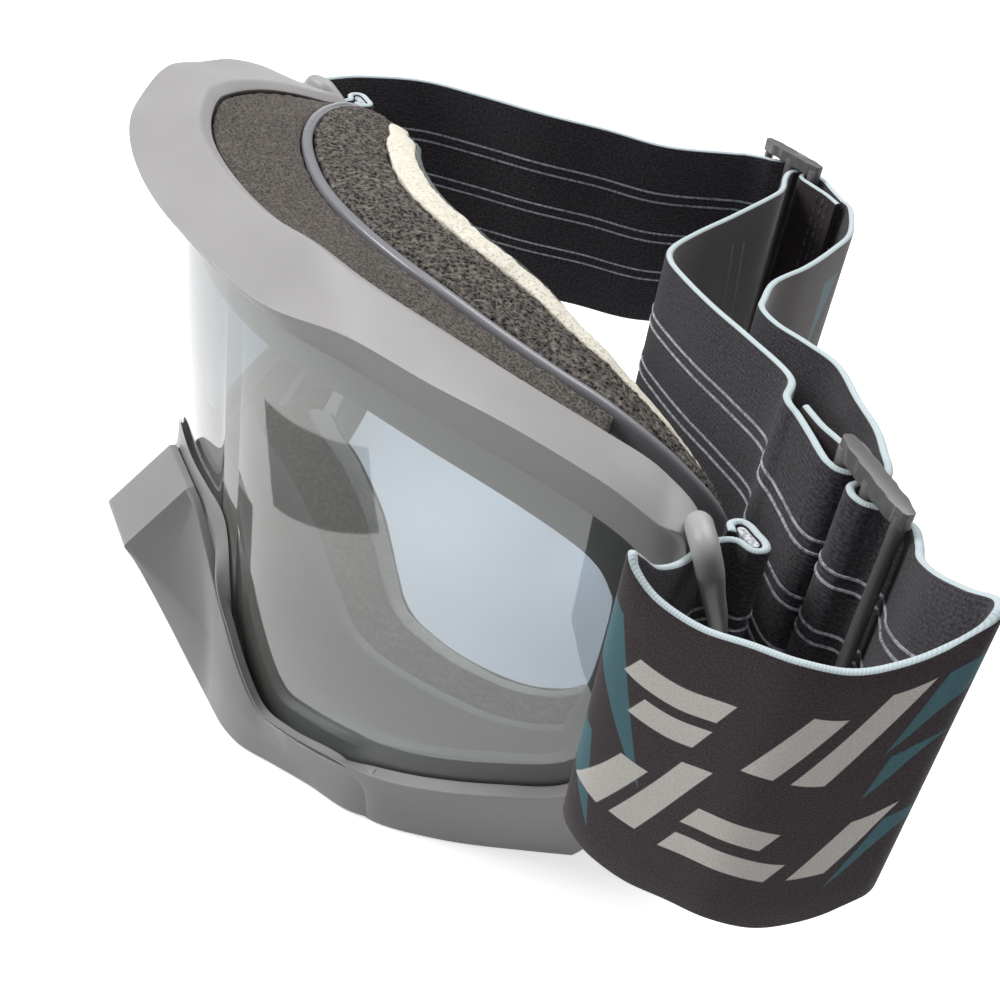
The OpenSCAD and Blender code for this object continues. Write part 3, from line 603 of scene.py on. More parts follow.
@dataclass(frozen=True)
class SublimatedWebbing(Finish):
    """The strap's outer face: a smooth jersey with a printed pattern of slanted bars and shards.

    The pattern is laid out in the millimetres of the UV map: u runs along the strap and v down from its top edge.
    """

    name: str = "printed_jersey"
    bars: tuple[tuple[float, ...], ...] = ()
    shards: tuple[tuple[float, ...], ...] = ()
    repeat_mm: float = 128.0
    rib_mm: float = 0.45
    soft_mm: float = 0.08

    def bar(self, tree: Tree, u: Any, v: Any, spec: Sequence[float], taper: float) -> Any:
        """Gives the mask of one slanted bar: middle u and v, half length, half height and slant.

        Args:
            tree: The node tree.
            u: Millimetres along the strap.
            v: Millimetres down from its top edge.
            spec: The bar's numbers.
            taper: 1 brings its lower end to a point.
        """
        middle_u, middle_v, length, height, slant = spec
        dv = maths(tree, "SUBTRACT", v, middle_v)
        du = maths(tree, "ADD", maths(tree, "SUBTRACT", u, middle_u), maths(tree, "MULTIPLY", dv, slant))
        du = maths(tree, "ADD", maths(tree, "ABSOLUTE", du), maths(tree, "MULTIPLY", dv, taper * length / 2 / height))
        reach = length * (1 - taper / 2)
        across = spread(tree, du, reach - self.soft_mm, reach + self.soft_mm, (1, 0))
        down = spread(tree, maths(tree, "ABSOLUTE", dv), height - self.soft_mm, height + self.soft_mm, (1, 0))
        return maths(tree, "MULTIPLY", across, down)

    def marks(self, tree: Tree, u: Any, v: Any, specs: Sequence[Sequence[float]], taper: float) -> Any:
        """Gives the mask of several bars together."""
        mask: Any = 0.0
        for spec in specs:
            mask = maths(tree, "MAXIMUM", mask, self.bar(tree, u, v, spec, taper))
        return mask

    def paint(self, tree: Tree) -> Node:
        """Makes the shader: the print on a speckled ground, over fine ribs."""
        uv = on_strap(tree)
        parts = add(tree, "SeparateXYZ", {"Vector": uv}).outputs
        u, v = parts["X"], parts["Y"]
        speck = clouds(tree, uv, 3.2, 3.0, 0.7)
        worn = spread(tree, speck, 0.25, 0.55, (0.72, 1.0))
        base = blend_colour(tree, spread(tree, speck, 0.42, 0.72), Tint.PRINT, Tint.PRINT_SPECK)
        teal = self.marks(tree, maths(tree, "MODULO", u, self.repeat_mm), v, self.shards, 1.0)
        base = blend_colour(tree, maths(tree, "MULTIPLY", teal, worn), base, Tint.TEAL)
        if self.bars:
            mask = self.marks(tree, u, v, self.bars, 0.0)
            base = blend_colour(tree, maths(tree, "MULTIPLY", mask, worn), base, Tint.MOTIF)
        ribs = waves(tree, self.rib_mm, 0.6, 1.0, "Y")
        height = maths(tree, "ADD", maths(tree, "MULTIPLY", ribs, 0.5), speck)
        return principled(
            tree, Base_Color=base, Roughness=0.78, Normal=relief(tree, height, 0.35, 0.0002),
            Sheen_Weight=0.35, Sheen_Roughness=0.4, Specular_IOR_Level=0.25)


@dataclass(frozen=True)
class BrushedPile(Finish):
    """The strap's inner face: elastic with a short brushed pile in rows."""

    shade: str
    light: str
    row_mm: float = 0.8

    def paint(self, tree: Tree) -> Node:
        """Makes the shader: rows along the strap, fuzz between them and a soft sheen."""
        fuzz = clouds(tree, on_strap(tree), 1.6, 4.0, 0.8)
        rows = waves(tree, self.row_mm, 1.2, 2.0, "Y")
        share = maths(tree, "MULTIPLY", spread(tree, fuzz, 0.4, 0.68), spread(tree, rows, 0, 1, (0.6, 1.0)))
        return principled(
            tree, Base_Color=blend_colour(tree, share, self.shade, self.light), Roughness=0.92,
            Normal=relief(tree, share, 0.6, 0.0003), Sheen_Weight=0.25, Sheen_Roughness=0.45, Specular_IOR_Level=0.1)


@dataclass(frozen=True)
class WovenEdge(Finish):
    """The strap's selvedge: yarn loops painted pale, a painted highlight for light shining through its fuzzy fibres,
    with slightly darker ones between.
    """

    name: str = "woven_selvedge"
    loop_mm: float = 0.45
    # Also pale: part of the painted highlight on the strap's edge.
    between: str = "#C4D3D8"

    def paint(self, tree: Tree) -> Node:
        """Makes the shader: short bands along the strap."""
        share = spread(tree, waves(tree, self.loop_mm, 1.4, 2.0, "X"), 0.0, 0.6)
        return principled(
            tree, Base_Color=blend_colour(tree, share, self.between, Tint.EDGE), Roughness=0.85,
            Normal=relief(tree, share, 0.25, 0.0002), Sheen_Weight=0.4)


@dataclass(frozen=True)
class ClearSilicone(Finish):
    """Silicone grip lines, the rods in the rolls and the thread: milky, half gloss."""

    shade: str
    rough: float = 0.35
    deep: str = "#7D8389"

    def paint(self, tree: Tree) -> Node:
        """Makes the shader: a milky body with fine beads in its colour and its surface."""
        beads = clouds(tree, on_object(tree), 1400.0)
        base = blend_colour(tree, spread(tree, beads, 0.3, 0.6), self.deep, self.shade)
        return principled(tree, Base_Color=base, Roughness=self.rough, Normal=relief(tree, beads, 0.3, 0.0002))


@dataclass(frozen=True)
class WhitePaper(Finish):
    """The stage: a paper sweep that looks white and throws back only part of the light on to the object."""

    name: str = "white_paper"
    glow: float = 0.66
    bounce: float = 0.58

    def paint(self, tree: Tree) -> Node:
        """Makes the shader: white where the camera sees it, also in the lens, and a quiet grey for other rays."""
        path = add(tree, "LightPath").outputs
        seen = maths(tree, "MAXIMUM", path["Is Camera Ray"], path["Is Glossy Ray"])
        fibre = clouds(tree, on_object(tree), 900.0)
        paper = add(tree, "BsdfDiffuse", {"Color": blend_colour(tree, fibre, "#F4F4F4", "#FFFFFF")})
        glow = add(tree, "Emission", {"Strength": self.glow})
        white = add(tree, "AddShader", {"0": paper.outputs[0], "1": glow.outputs[0]})
        quiet = add(tree, "BsdfDiffuse", {"Color": (self.bounce, self.bounce, self.bounce, 1)})
        return mixed(tree, seen, quiet, white)


@dataclass(frozen=True)
class GreyCard(Finish):
    """The stage: a grey card with a fine grain."""

    name: str = "grey_card"

    def paint(self, tree: Tree) -> Node:
        """Makes the shader: two near greys."""
        grain = clouds(tree, on_object(tree), 700.0)
        return principled(tree, Base_Color=blend_colour(tree, grain, "#8A8A8C", "#949496"), Roughness=0.9)


def finished(obj: Piece, slot: str, nodes: Sequence[str], *materials: Material, body: str = "goggles") -> Piece:
    """Gives a piece its materials, hides the nodes that it stands for and hangs it on the body that it rides on.

    Args:
        obj: The piece.
        slot: The name of its material slot; not used.
        nodes: The CAD nodes that it replaces.
        materials: Its materials in order.
        body: The body, or an empty word to leave the piece on no body.
    """
    for material in materials:
        obj.data.materials.append(material)
    if nodes:
        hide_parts(*nodes)
    if body:
        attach(obj, body)
    return obj


S, B, N, A = SIDE_ANGLE, BROW_HEIGHT, NOTCH_HEIGHT, ARCH_HEIGHT
OPENING = np.array([
    [0, B], [0.21, B], [0.36, B], [0.46, B], [0.59, B - 2], [0.73, B - 5.6],
    [0.85, B - 10.6], [0.93, B - 16], [0.98, B - 23], [1, 0.655 * B], [0.995, 0.47 * B],
    [0.965, 29], [0.91, 21.5], [0.8, 18], [0.66, 13.6], [0.58, 11.2], [0.52, 9],
    [0.4, 6.4], [0.31, 5.6], [0.25, 9], [0.21, 18], [0.195, 29], [0.18, N - 7],
    [0.155, N - 1.2], [0.09, N], [0, N],
]) * [S, 1]
LAST = len(OPENING) - 1
BROW_STATIONS = 9
TEMPLE_END = 12
BAND_END = 20


def outward(half: Array) -> Array:
    """Gives the way out of a half ring at each point, square to its edge, as degrees and height a millimetre."""
    full = whole(half)
    flat = np.stack([full[:, 0] * DEGREE, full[:, 2]], -1)
    d = np.roll(flat, -1, 0) - np.roll(flat, 1, 0)
    u = (np.stack([-d[:, 1], d[:, 0]], -1) / np.linalg.norm(d, axis=1, keepdims=True))[: len(half)]
    u[0, 0] = u[-1, 0] = 0
    return np.stack([u[:, 0] / DEGREE, np.zeros(len(u)), u[:, 1]], -1)


def grown(by: float, radius: float) -> Array:
    """Gives the lens opening grown by a distance, as a half ring at a distance from the axis."""
    half = np.stack([OPENING[:, 0], np.full(len(OPENING), radius), OPENING[:, 1]], -1)
    return half + outward(half) * by


def moved(half: Array, by: float) -> Array:
    """Moves a half ring out or in along its own surface."""
    return half + outward(half) * by


@dataclass
class OuterFrame:
    """The visible moulding: brow, lower band and nose arch, with the groove that holds the lens."""

    lip: float = 8.6
    cover: float = 10.0
    lean: float = 11.2
    rise: float = 4.8
    band: float = 3.0
    rebate: float = 1.2
    wing: int = 16
    arch: int = 22
    arch_band: float = 1.0
    arch_drop: float = 1.5
    lap: float = 2.2
    radii: tuple[float, ...] = (0.35, 0.9, 0.5, 0.45, 0.3, 0.25, 0.8, 0.5, 0.2, 0.2)

    def front(self) -> Array:
        """The brow's front edge and the face of the lower band, as a half ring."""
        r, z, g = LENS_RADIUS + self.lip, B + self.cover, LENS_RADIUS + self.band
        e = LENS_RADIUS
        return np.array([
            [0, r, z + 0.2], [0.21, r + 0.3, z + 0.2], [0.36, r + 0.4, z - 0.9], [0.495, r - 0.7, z + 0.2],
            [0.615, r - 2, z - 2.6], [0.735, r - 2.3, z - 5.5], [0.855, r - 2.4, z - 10.6],
            [0.94, r - 3.4, z - 16.9], [0.992, r - 5, z - 21.6], [1.01, e + 1.8, 0.655 * B],
            [1.006, e + 1.8, 0.47 * B], [0.975, e + 2.6, 29], [0.915, g, 21.5], [0.8, g, 17.6],
            [0.66, g, 13.2], [0.58, g, 11.4], [0.522, g, 11], [0.408, g, 9.8], [0.334, g, 9.6],
            [0.28, g, 14.8], [0.232, g, 22.2], [0.19, g, 29], [0.146, g, N - 9.6],
            [0.104, g, N - 4.4], [0.07, g, N - 2], [0, g + 0.2, N - 1.8],
        ]) * [S, 1, 1]

    def edge(self) -> Array:
        """The frame's outer edge, from the back of the brow round to the foot and the arch over the nose."""
        r, z, e = LENS_RADIUS + self.lip - self.lean, B + self.cover + self.rise, LENS_RADIUS
        return np.array([
            [0, r, z], [0.203, r - 0.5, z - 0.8], [0.313, r - 1.3, z - 0.8], [0.414, r - 2.3, z - 2.9],
            [0.564, r - 4.1, z - 6.6], [0.71, r - 5.1, z - 11.1], [0.85, r - 5.4, z - 16.1],
            [0.955, r - 2.9, z - 19.8], [1.025, e - 0.6, z - 26], [1.043, e + 0.2, 0.66 * B],
            [1.043, e + 0.2, 0.42 * B], [1.02, e - 1.6, 14], [0.96, e - 2.2, 0], [0.85, e - 1.2, 0],
            [0.71, e + 1.4, 0], [0.6, e + 3.2, 0], [0.54, e + 1.5, 0], [0.42, e + 1.4, 0],
            [0.31, e + 1.8, 0], [0.19, e + 2, 0], [0.155, e + 1.6, 0.23 * A],
            [0.118, e + 1.4, 0.56 * A], [0.085, e + 1.2, 0.8 * A], [0.055, e + 1.2, 0.93 * A],
            [0.025, e + 1.2, A], [0, e + 1.2, A],
        ]) * [S, 1, 1]

    def back(self) -> Array:
        """The hidden back edge, a wall's thickness behind the outer edge."""
        out = self.edge()
        index = np.arange(LAST + 1)
        low = out[:, 2] < 1
        temple = (index >= BROW_STATIONS) & (index < TEMPLE_END)
        out[:, 1] = np.where(low, BACK_SEAT - 1.6, out[:, 1] - WALL - np.where(temple, 0.6, 0))
        out[:, 2] -= np.where(index < BROW_STATIONS, 1.6, 0)
        return out

    def build(self, finish: Material) -> Piece:
        """Makes the frame: a soft return under the brow's lip, a rebate under the nose guard and rounded edges."""
        front, edge, seat = self.front(), self.edge(), grown(0, FRONT_SEAT)
        front[self.arch :, 1] = LENS_RADIUS + self.arch_band
        for rail in (front, seat):
            rail[self.arch + 1 :, 2] -= self.arch_drop
        rib = moved(front, 0.6)
        index = np.arange(LAST + 1)[:, None]
        rib_edge = np.where(index < self.wing, front + 0.25 * (edge - front), rib)
        rib_foot = np.where(index < self.wing, front + 0.5 * (edge - front), rib * [1, 0, 1])
        rib_foot[self.wing :, 1] = LENS_RADIUS + self.rebate
        over = np.clip((8.5 - index) / 1.5, 0, 1)
        tuck = front + over * np.array([0, -1.4, -0.5]) + (1 - over) * 0.25 * (seat - front)
        under = front + over * np.array([0, -2.3, -2.8]) + (1 - over) * 0.55 * (seat - front)
        groove = self.lap + SEAT_GAP
        rails = [seat, under, tuck, front, rib_edge, rib_foot, edge, self.back(),
                 grown(groove, BACK_SEAT - 1.6), grown(groove, FRONT_SEAT)]
        section = rounded(np.stack([ring(rail) for rail in rails], 1), self.radii)
        obj = Surface("outer_frame_moulding", place(section), smooth_angle=40).build()
        return finished(obj, "frame_grey", ["outer_frame"], finish)


@dataclass
class Lens:
    """The one-piece cylindrical lens: a bent sheet with the nose notch cut out of it."""

    lap: float = 2.2

    def build(self, finish: Material) -> Piece:
        """Makes the sheet between the upper and the lower edge of the opening."""
        steps = 8
        turning = BROW_STATIONS * steps
        edge = ring(grown(self.lap, LENS_RADIUS), steps)[: LAST * steps + 1]
        upper, lower = edge[: turning + 1], edge[turning:]
        end = edge[turning, 0] - 0.05
        nose = np.sort(lower[lower[:, 0] < 0.32 * S, 0])
        far = 0.33 * S + (end - 0.33 * S) * np.sin(np.radians(np.arange(0, 90.5, 1)))
        half = np.concatenate([nose, far])
        turns = np.concatenate([-half[:0:-1], half])

        def sheet(table: Array, radius: float) -> Array:
            """Gives the height of an edge at each turn, at a distance from the axis."""
            order = np.argsort(table[:, 0])
            height = np.interp(np.abs(turns), table[order, 0], table[order, 2])
            return np.stack([turns, np.full(len(turns), radius), height], -1)

        inside = LENS_RADIUS - LENS_THICKNESS
        section = np.stack(
            [sheet(upper, inside), sheet(upper, LENS_RADIUS), sheet(lower, LENS_RADIUS), sheet(lower, inside)], 1)
        obj = Surface("smoke_lens", place(rounded(section, [0.3] * 4, 2)), close_rows=False, smooth_angle=40).build()
        return finished(obj, "lens_tint", ["lens"], finish)


@dataclass
class NoseGuard:
    """The beak with its flat top and two low wings, clipped over the lower band."""

    reach: float = 15.0
    width: float = 14.0
    thickness: float = 1.5
    band: float = 3.0

    def rail(self, half: Sequence[Sequence[float]], x: float, y: float, z: float) -> Array:
        """One rail: smooth along the wing, straight over the beak and mirrored."""
        curve = smooth(np.array([*half, polar(x, y, z)]), 8, False)
        middle = np.linspace(0, 1, 7)[1:, None]
        ridge = (1 - middle) * place(curve[-1]) + middle * np.array([0, y, z])
        across = np.array([polar(*p) for p in ridge])
        side = np.vstack([curve, across])
        return np.vstack([side, side[-2::-1] * [-1, 1, 1]])

    def build(self, front: Array, finish: Material) -> Piece:
        """Makes the guard along the frame's front rail."""
        g, wing, beak = LENS_RADIUS + self.band, 16, -self.reach
        upper = self.rail([[39, g - 0.5, 11.6], *moved(front, 1.2)[wing : LAST - 1].tolist()],
                          self.width / 2, -self.band, N - 3)
        ridge = self.rail([
            [40.2, g - 0.5, 6], [36, g + 0.5, 6], [29, g + 0.5, 5], [24, g + 1, 5], [20.5, g + 1.5, 6.5],
            [16.5, g + 1.5, 10], [13.5, g + 1.1, 13],
            [10.7, g + 0.6, 15.7], polar(self.width / 2 + 4.4, 0.5 * beak, A - 8),
        ], self.width / 2, beak, A + 0.5)
        lower = self.rail([
            [41, g - 0.5, 0.6], [36.6, g + 0.8, 0.4], [31, g + 0.4, 0.4], [25.8, g + 1.4, 0.4], [21.2, g + 3, 0.4],
            [17.6, g + 2.9, 0.4], [14.6, g + 2.1, 0.4],
            [11, g + 1.7, 1.5], polar(self.width / 2 + 3.4, 0.48 * beak, 12),
        ], self.width / 2 - 0.4, beak + 1.6, A - 2)
        inside = [rail - [0, self.thickness, 0] for rail in (upper, ridge, lower)]
        section = np.stack([upper, inside[0], inside[1], inside[2], lower, ridge], 1)
        grid = rounded(place(section), [0.5, 0.4, 0.3, 0.4, 0.5, 0.9])
        grid[..., 2] = np.maximum(grid[..., 2], 0.05)
        obj = Surface("nose_guard_moulding", grid, close_rows=False, smooth_angle=24).build()
        return finished(obj, "frame_grey", ["nose_guard"], finish)


STEPS = np.array([
    0, 0, 0.5, 1.2, 2.6, 4.7, 7, 10.2, 12.8, 14.2, 14.4, 13.8, 12.6,
    10.6, 8.8, 7.9, 7.4, 7, 7, 7.4, 8, 8.6, 9.2, 9.8, 10.2, 10.4,
])


def on_flange(table: Sequence[Sequence[float]]) -> Array:
    """Sets (angle, height) pairs on the flange, which comes forward in steps towards the temple."""
    angle, height = np.array(table).T
    return np.stack([angle, RIM_RADIUS + STEPS, height], -1)


RIM = on_flange([
    [0, RIM_HEIGHT], [12, RIM_HEIGHT - 0.2], [22, RIM_HEIGHT - 0.8],
    [31, RIM_HEIGHT - 1.9], [40, RIM_HEIGHT - 3.8], [49, RIM_HEIGHT - 6.2],
    [57.3, RIM_HEIGHT - 9.2], [66, RIM_HEIGHT - 15], [73, RIM_HEIGHT - 24],
    [76, 0.6 * RIM_HEIGHT], [76.4, 0.42 * RIM_HEIGHT], [74.5, 25],
    [69, 13], [60, 5.5], [50, 3], [42, 2.4], [37, 2.4],
    [31, 2.6], [25, 4.6], [20, 10], [16.5, 18], [13, 25.5],
    [10, N - 15], [7, N - 12.5], [3.5, N - 11.2], [0, N - 11],
])
RIM_INNER = on_flange([
    [0, 82], [11, 82], [20.5, 81.6], [28.5, 80.8], [36.5, 79.4],
    [44, 77.4], [51, 74.5], [58, 69.5], [63, 62],
    [65.5, 53], [65.8, 42], [64.5, 32], [60, 24.5],
    [52, 20.6], [44, 19.6], [37.5, 19.4], [33, 19.4],
    [28.5, 19.8], [24.5, 22], [21.5, 27], [18.8, 33],
    [15.8, 39], [12, N - 2], [8, N + 1], [4, N + 2.2],
    [0, N + 2.4],
])


def flange(share: float, by: float, forward: float) -> Array:
    """A half ring between the rim and the inner edge: a share and a distance of the way in, and one forward."""
    way = RIM_INNER - RIM
    width = np.hypot(way[:, 0] * DEGREE, way[:, 2])
    out = RIM + way * (share + by / width)[:, None]
    out[:, 1] += forward
    return out


@dataclass
class InnerFrame:
    """The moulding behind the lens: ledge, shroud with vent slots, and the flange with its raised bead."""

    flange_t: float = 2.0
    ledge: float = 8.0
    slots: int = 7
    slot_pitch: float = 12.0
    slot_width: float = 10.0
    bead_points: tuple[int, int] = (6, 10)

    def ledge_rail(self, radius: float) -> Array:
        """The inner edge of the ledge that shows through the lens."""
        out = grown(0, radius)
        index = np.arange(LAST + 1)
        reach = np.where(index < TEMPLE_END, self.ledge, np.where(index < BAND_END, 3, 2))[:, None]
        out[:, [0, 2]] += (reach * (grown(-1, 1) - grown(0, 1)))[:, [0, 2]]
        return out

    def build(self, shroud: Material, bead: Material) -> Piece:
        """Makes the moulding and cuts its vent slots."""
        front_r = SEAT_GAP + self.flange_t
        rails = [
            flange(0, 0, SEAT_GAP), flange(1, 0, SEAT_GAP), flange(1, 0, front_r), flange(0, 3.6 + WALL, front_r),
            grown(-WALL, BACK_SEAT - WALL - 0.6), self.ledge_rail(BACK_SEAT - WALL - 0.6),
            self.ledge_rail(BACK_SEAT - 0.8), grown(2.0, BACK_SEAT), grown(0, BACK_SEAT - WALL),
            flange(0, 3.6, front_r), flange(0, 0, front_r),
        ]
        radii = [0.9, 0.6, 0.6, 0.5, 0.4, 0.4, 0.4, 0.3, 0.3, 0.3, 1.0]
        section = rounded(np.stack([ring(rail) for rail in rails], 1), radii)
        slots = np.zeros(section.shape[1], np.int64)
        slots[: self.bead_points[0]] = slots[-self.bead_points[1] :] = 1
        obj = Surface("inner_frame_moulding", place(section), smooth_angle=40, slots=slots).build()
        roof = BACK_SEAT - RIM_RADIUS - WALL - self.flange_t
        near, deep = -BACK_SEAT + WALL + roof * 30 / 181, roof * 61 / 181
        cutters = []
        for k in range(-(self.slots // 2), self.slots // 2 + 1):
            turn = math.radians(k * self.slot_pitch)
            half = self.slot_width / 2
            corners = np.array([[-half, near], [half, near], [half, near + deep], [-half, near + deep]])
            spin = np.array([[math.cos(turn), math.sin(turn)], [-math.sin(turn), math.cos(turn)]])
            outline = corners @ spin + [0, LENS_RADIUS]
            cutters.append(plate(f"slot_cutter_{k + 3}", outline, RIM_HEIGHT - 16, RIM_HEIGHT + 4, 1.2))
        cutter = joined("slot_cutters", cutters)
        cut = obj.modifiers.new("slots", "BOOLEAN")
        cut.object = cutter
        cut.operation = "DIFFERENCE"
        baked = bpy.data.meshes.new_from_object(obj.evaluated_get(bpy.context.evaluated_depsgraph_get()))
        obj.modifiers.clear()
        obj.data = baked
        bpy.data.objects.remove(cutter)
        return finished(obj, "inner_grey", ["inner_frame"], shroud, bead)


@dataclass
class Foam:
    """The foams: the vents' thin covers and the three layers that lie on the face."""

    base_share: float = 0.66
    fleece_share: float = 0.06
    layer_gap: float = 0.2 / FOAM
    flange_t: float = 2.0
    depth_at: tuple[float, ...] = (4, 8, 12, 13, 20)
    depth_share: tuple[float, ...] = (1.0, 0.52, 0.52, 0.55, 0.76)
    roll: float = 1.0
    roll_from: float = 0.97
    roll_at: float = 8.6
    roll_reach: float = 1.5
    fill: float = 0.9

    def deep(self, share: float, by: float, depth: float) -> Array:
        """A half ring behind the flange, a share of the foam's local thickness deep, with a swell at the temples."""
        index = np.arange(LAST + 1)
        thick = np.interp(index, self.depth_at, self.depth_share)
        out = flange(share, by, 0)
        swell = np.exp(-(((index - self.roll_at) / self.roll_reach) ** 2))
        out[:, 1] -= FOAM * (depth * thick + max(depth - self.roll_from, 0) * self.roll * swell)
        return out

    def roughened(self, grid: Array, pitches: Sequence[float], heights: Sequence[float], seed: int) -> Array:
        """Moves the points of closed sections in and out by noise of several sizes, for torn cells."""
        around = np.roll(grid, -1, 1) - np.roll(grid, 1, 1)
        along = np.roll(grid, -1, 0) - np.roll(grid, 1, 0)
        normal = np.cross(around, along)
        normal /= np.maximum(np.linalg.norm(normal, axis=2, keepdims=True), 1e-9)
        push = sum(h * noise(grid, p, seed + k) for k, (p, h) in enumerate(zip(pitches, heights)))
        return grid + normal * push[..., None]

    def layer(
        self, name: str, start: float, end: float, draws: tuple[float, float, float], pitch: float,
        pitches: Sequence[float], heights: Sequence[float], radius: float,
    ) -> Piece:
        """Makes one layer between two depths.

        Args:
            name: The piece's name; its length seeds the noise.
            start: Depth of its front, as a share of the foam's.
            end: Depth of its back.
            draws: How far its sides draw in at the start and at the end, and how far they swell out between.
            pitch: Distance between neighbouring points, in millimetres.
            pitches: Sizes of the noise.
            heights: Heights of the noise.
            radius: Rounding of its edges.
        """
        middle, draw = (start + end) / 2, (draws[0] + draws[1]) / 2 - draws[2]
        rails = [
            self.deep(0, draws[0], start), self.deep(1, -draws[0], start), self.deep(1, -draw, middle),
            self.deep(1, -draws[1], end), self.deep(0, draws[1], end), self.deep(0, draw, middle),
        ]
        section = rounded(np.stack([ring(rail, 14) for rail in rails], 1), [radius, radius, 3, radius, radius, 3])
        grid = self.roughened(filled(place(section), pitch), pitches, heights, len(name))
        grid[..., 2] = np.maximum(grid[..., 2], 0.1)
        return Surface(name, grid).build()

    def vent(self, frame_back: Array, finish: Material) -> list[Piece]:
        """Makes the cover over the forehead opening and the two small ones below."""
        top = slice(0, 7)
        back = RIM[top] + [0, self.flange_t + 2 * SEAT_GAP, -0.8]
        front = frame_back[top] + [0, -SEAT_GAP, -0.6]
        low = grown(1.8, BACK_SEAT - WALL - 2.2)[top]
        rails = [mirrored(rail) for rail in (back, front, low, back - [0, 0, 1.6])]
        out = [self.strip("top_vent_foam_cover", rails, 28, 0.16, "top_vent_foam", finish)]
        low_slice = slice(13, 16)
        back = RIM[low_slice] + [0, self.flange_t + 2 * SEAT_GAP, 0.4]
        edge = grown(1.5, BACK_SEAT - WALL - 0.6)[low_slice]
        under = edge * [1, 1, 0.45] - [0, 0, 0.5]
        for side, turn in (("left", 1), ("right", -1)):
            rails = [rail * [turn, 1, 1] for rail in (back, back + [0, 0, 2.4], edge, under)]
            out.append(self.strip(f"bottom_vent_cover_{side}", rails, 14, 0.1, f"bottom_vent_foam_{side}", finish))
        return out

    def strip(
        self, name: str, rails: Sequence[Array], steps: int, rough: float, node: str, finish: Material
    ) -> Piece:
        """Makes one vent cover as an open strip with a granular skin."""
        section = rounded(np.stack([smooth(rail, steps, False) for rail in rails], 1), [0.5] * 4, 2)
        grid = filled(place(section), 0.55)
        grid[1:-1] = self.roughened(grid, (0.7, 1.6), (rough, rough * 0.6), 5)[1:-1]
        obj = Surface(name, grid, close_rows=False).build()
        return finished(obj, "vent_foam", [node], finish)

    def build(self, frame_back: Array, vent: Material, dark: Material,
              cream: Material, fleece: Material) -> None:
        """Makes every foam piece."""
        self.vent(frame_back, vent)
        base = self.layer(
            "face_foam_coarse", 0, self.base_share, (0.3, 1.0, 0.7), 0.55, (0.75, 1.6, 6), (0.3, 0.3, 0.25), 1.0)
        finished(base, "foam_dark", ["face_foam_base"], dark)
        start = self.base_share + self.layer_gap
        middle = self.layer(
            "face_foam_cream", start, 1 - self.fleece_share, (1.0, 1.8, 0.3), 0.8, (0.9, 5), (0.16, 0.3), 0.6)
        finished(middle, "foam_cream", ["face_foam_mid"], cream)
        start = 1 - self.fleece_share + self.layer_gap
        top = self.layer("face_fleece_layer", start, 1.0, (1.8, 2.8, 0.0), 1.0, (0.8, 6), (0.06, 0.15), 0.5)
        finished(top, "fleece", ["face_fleece"], fleece)


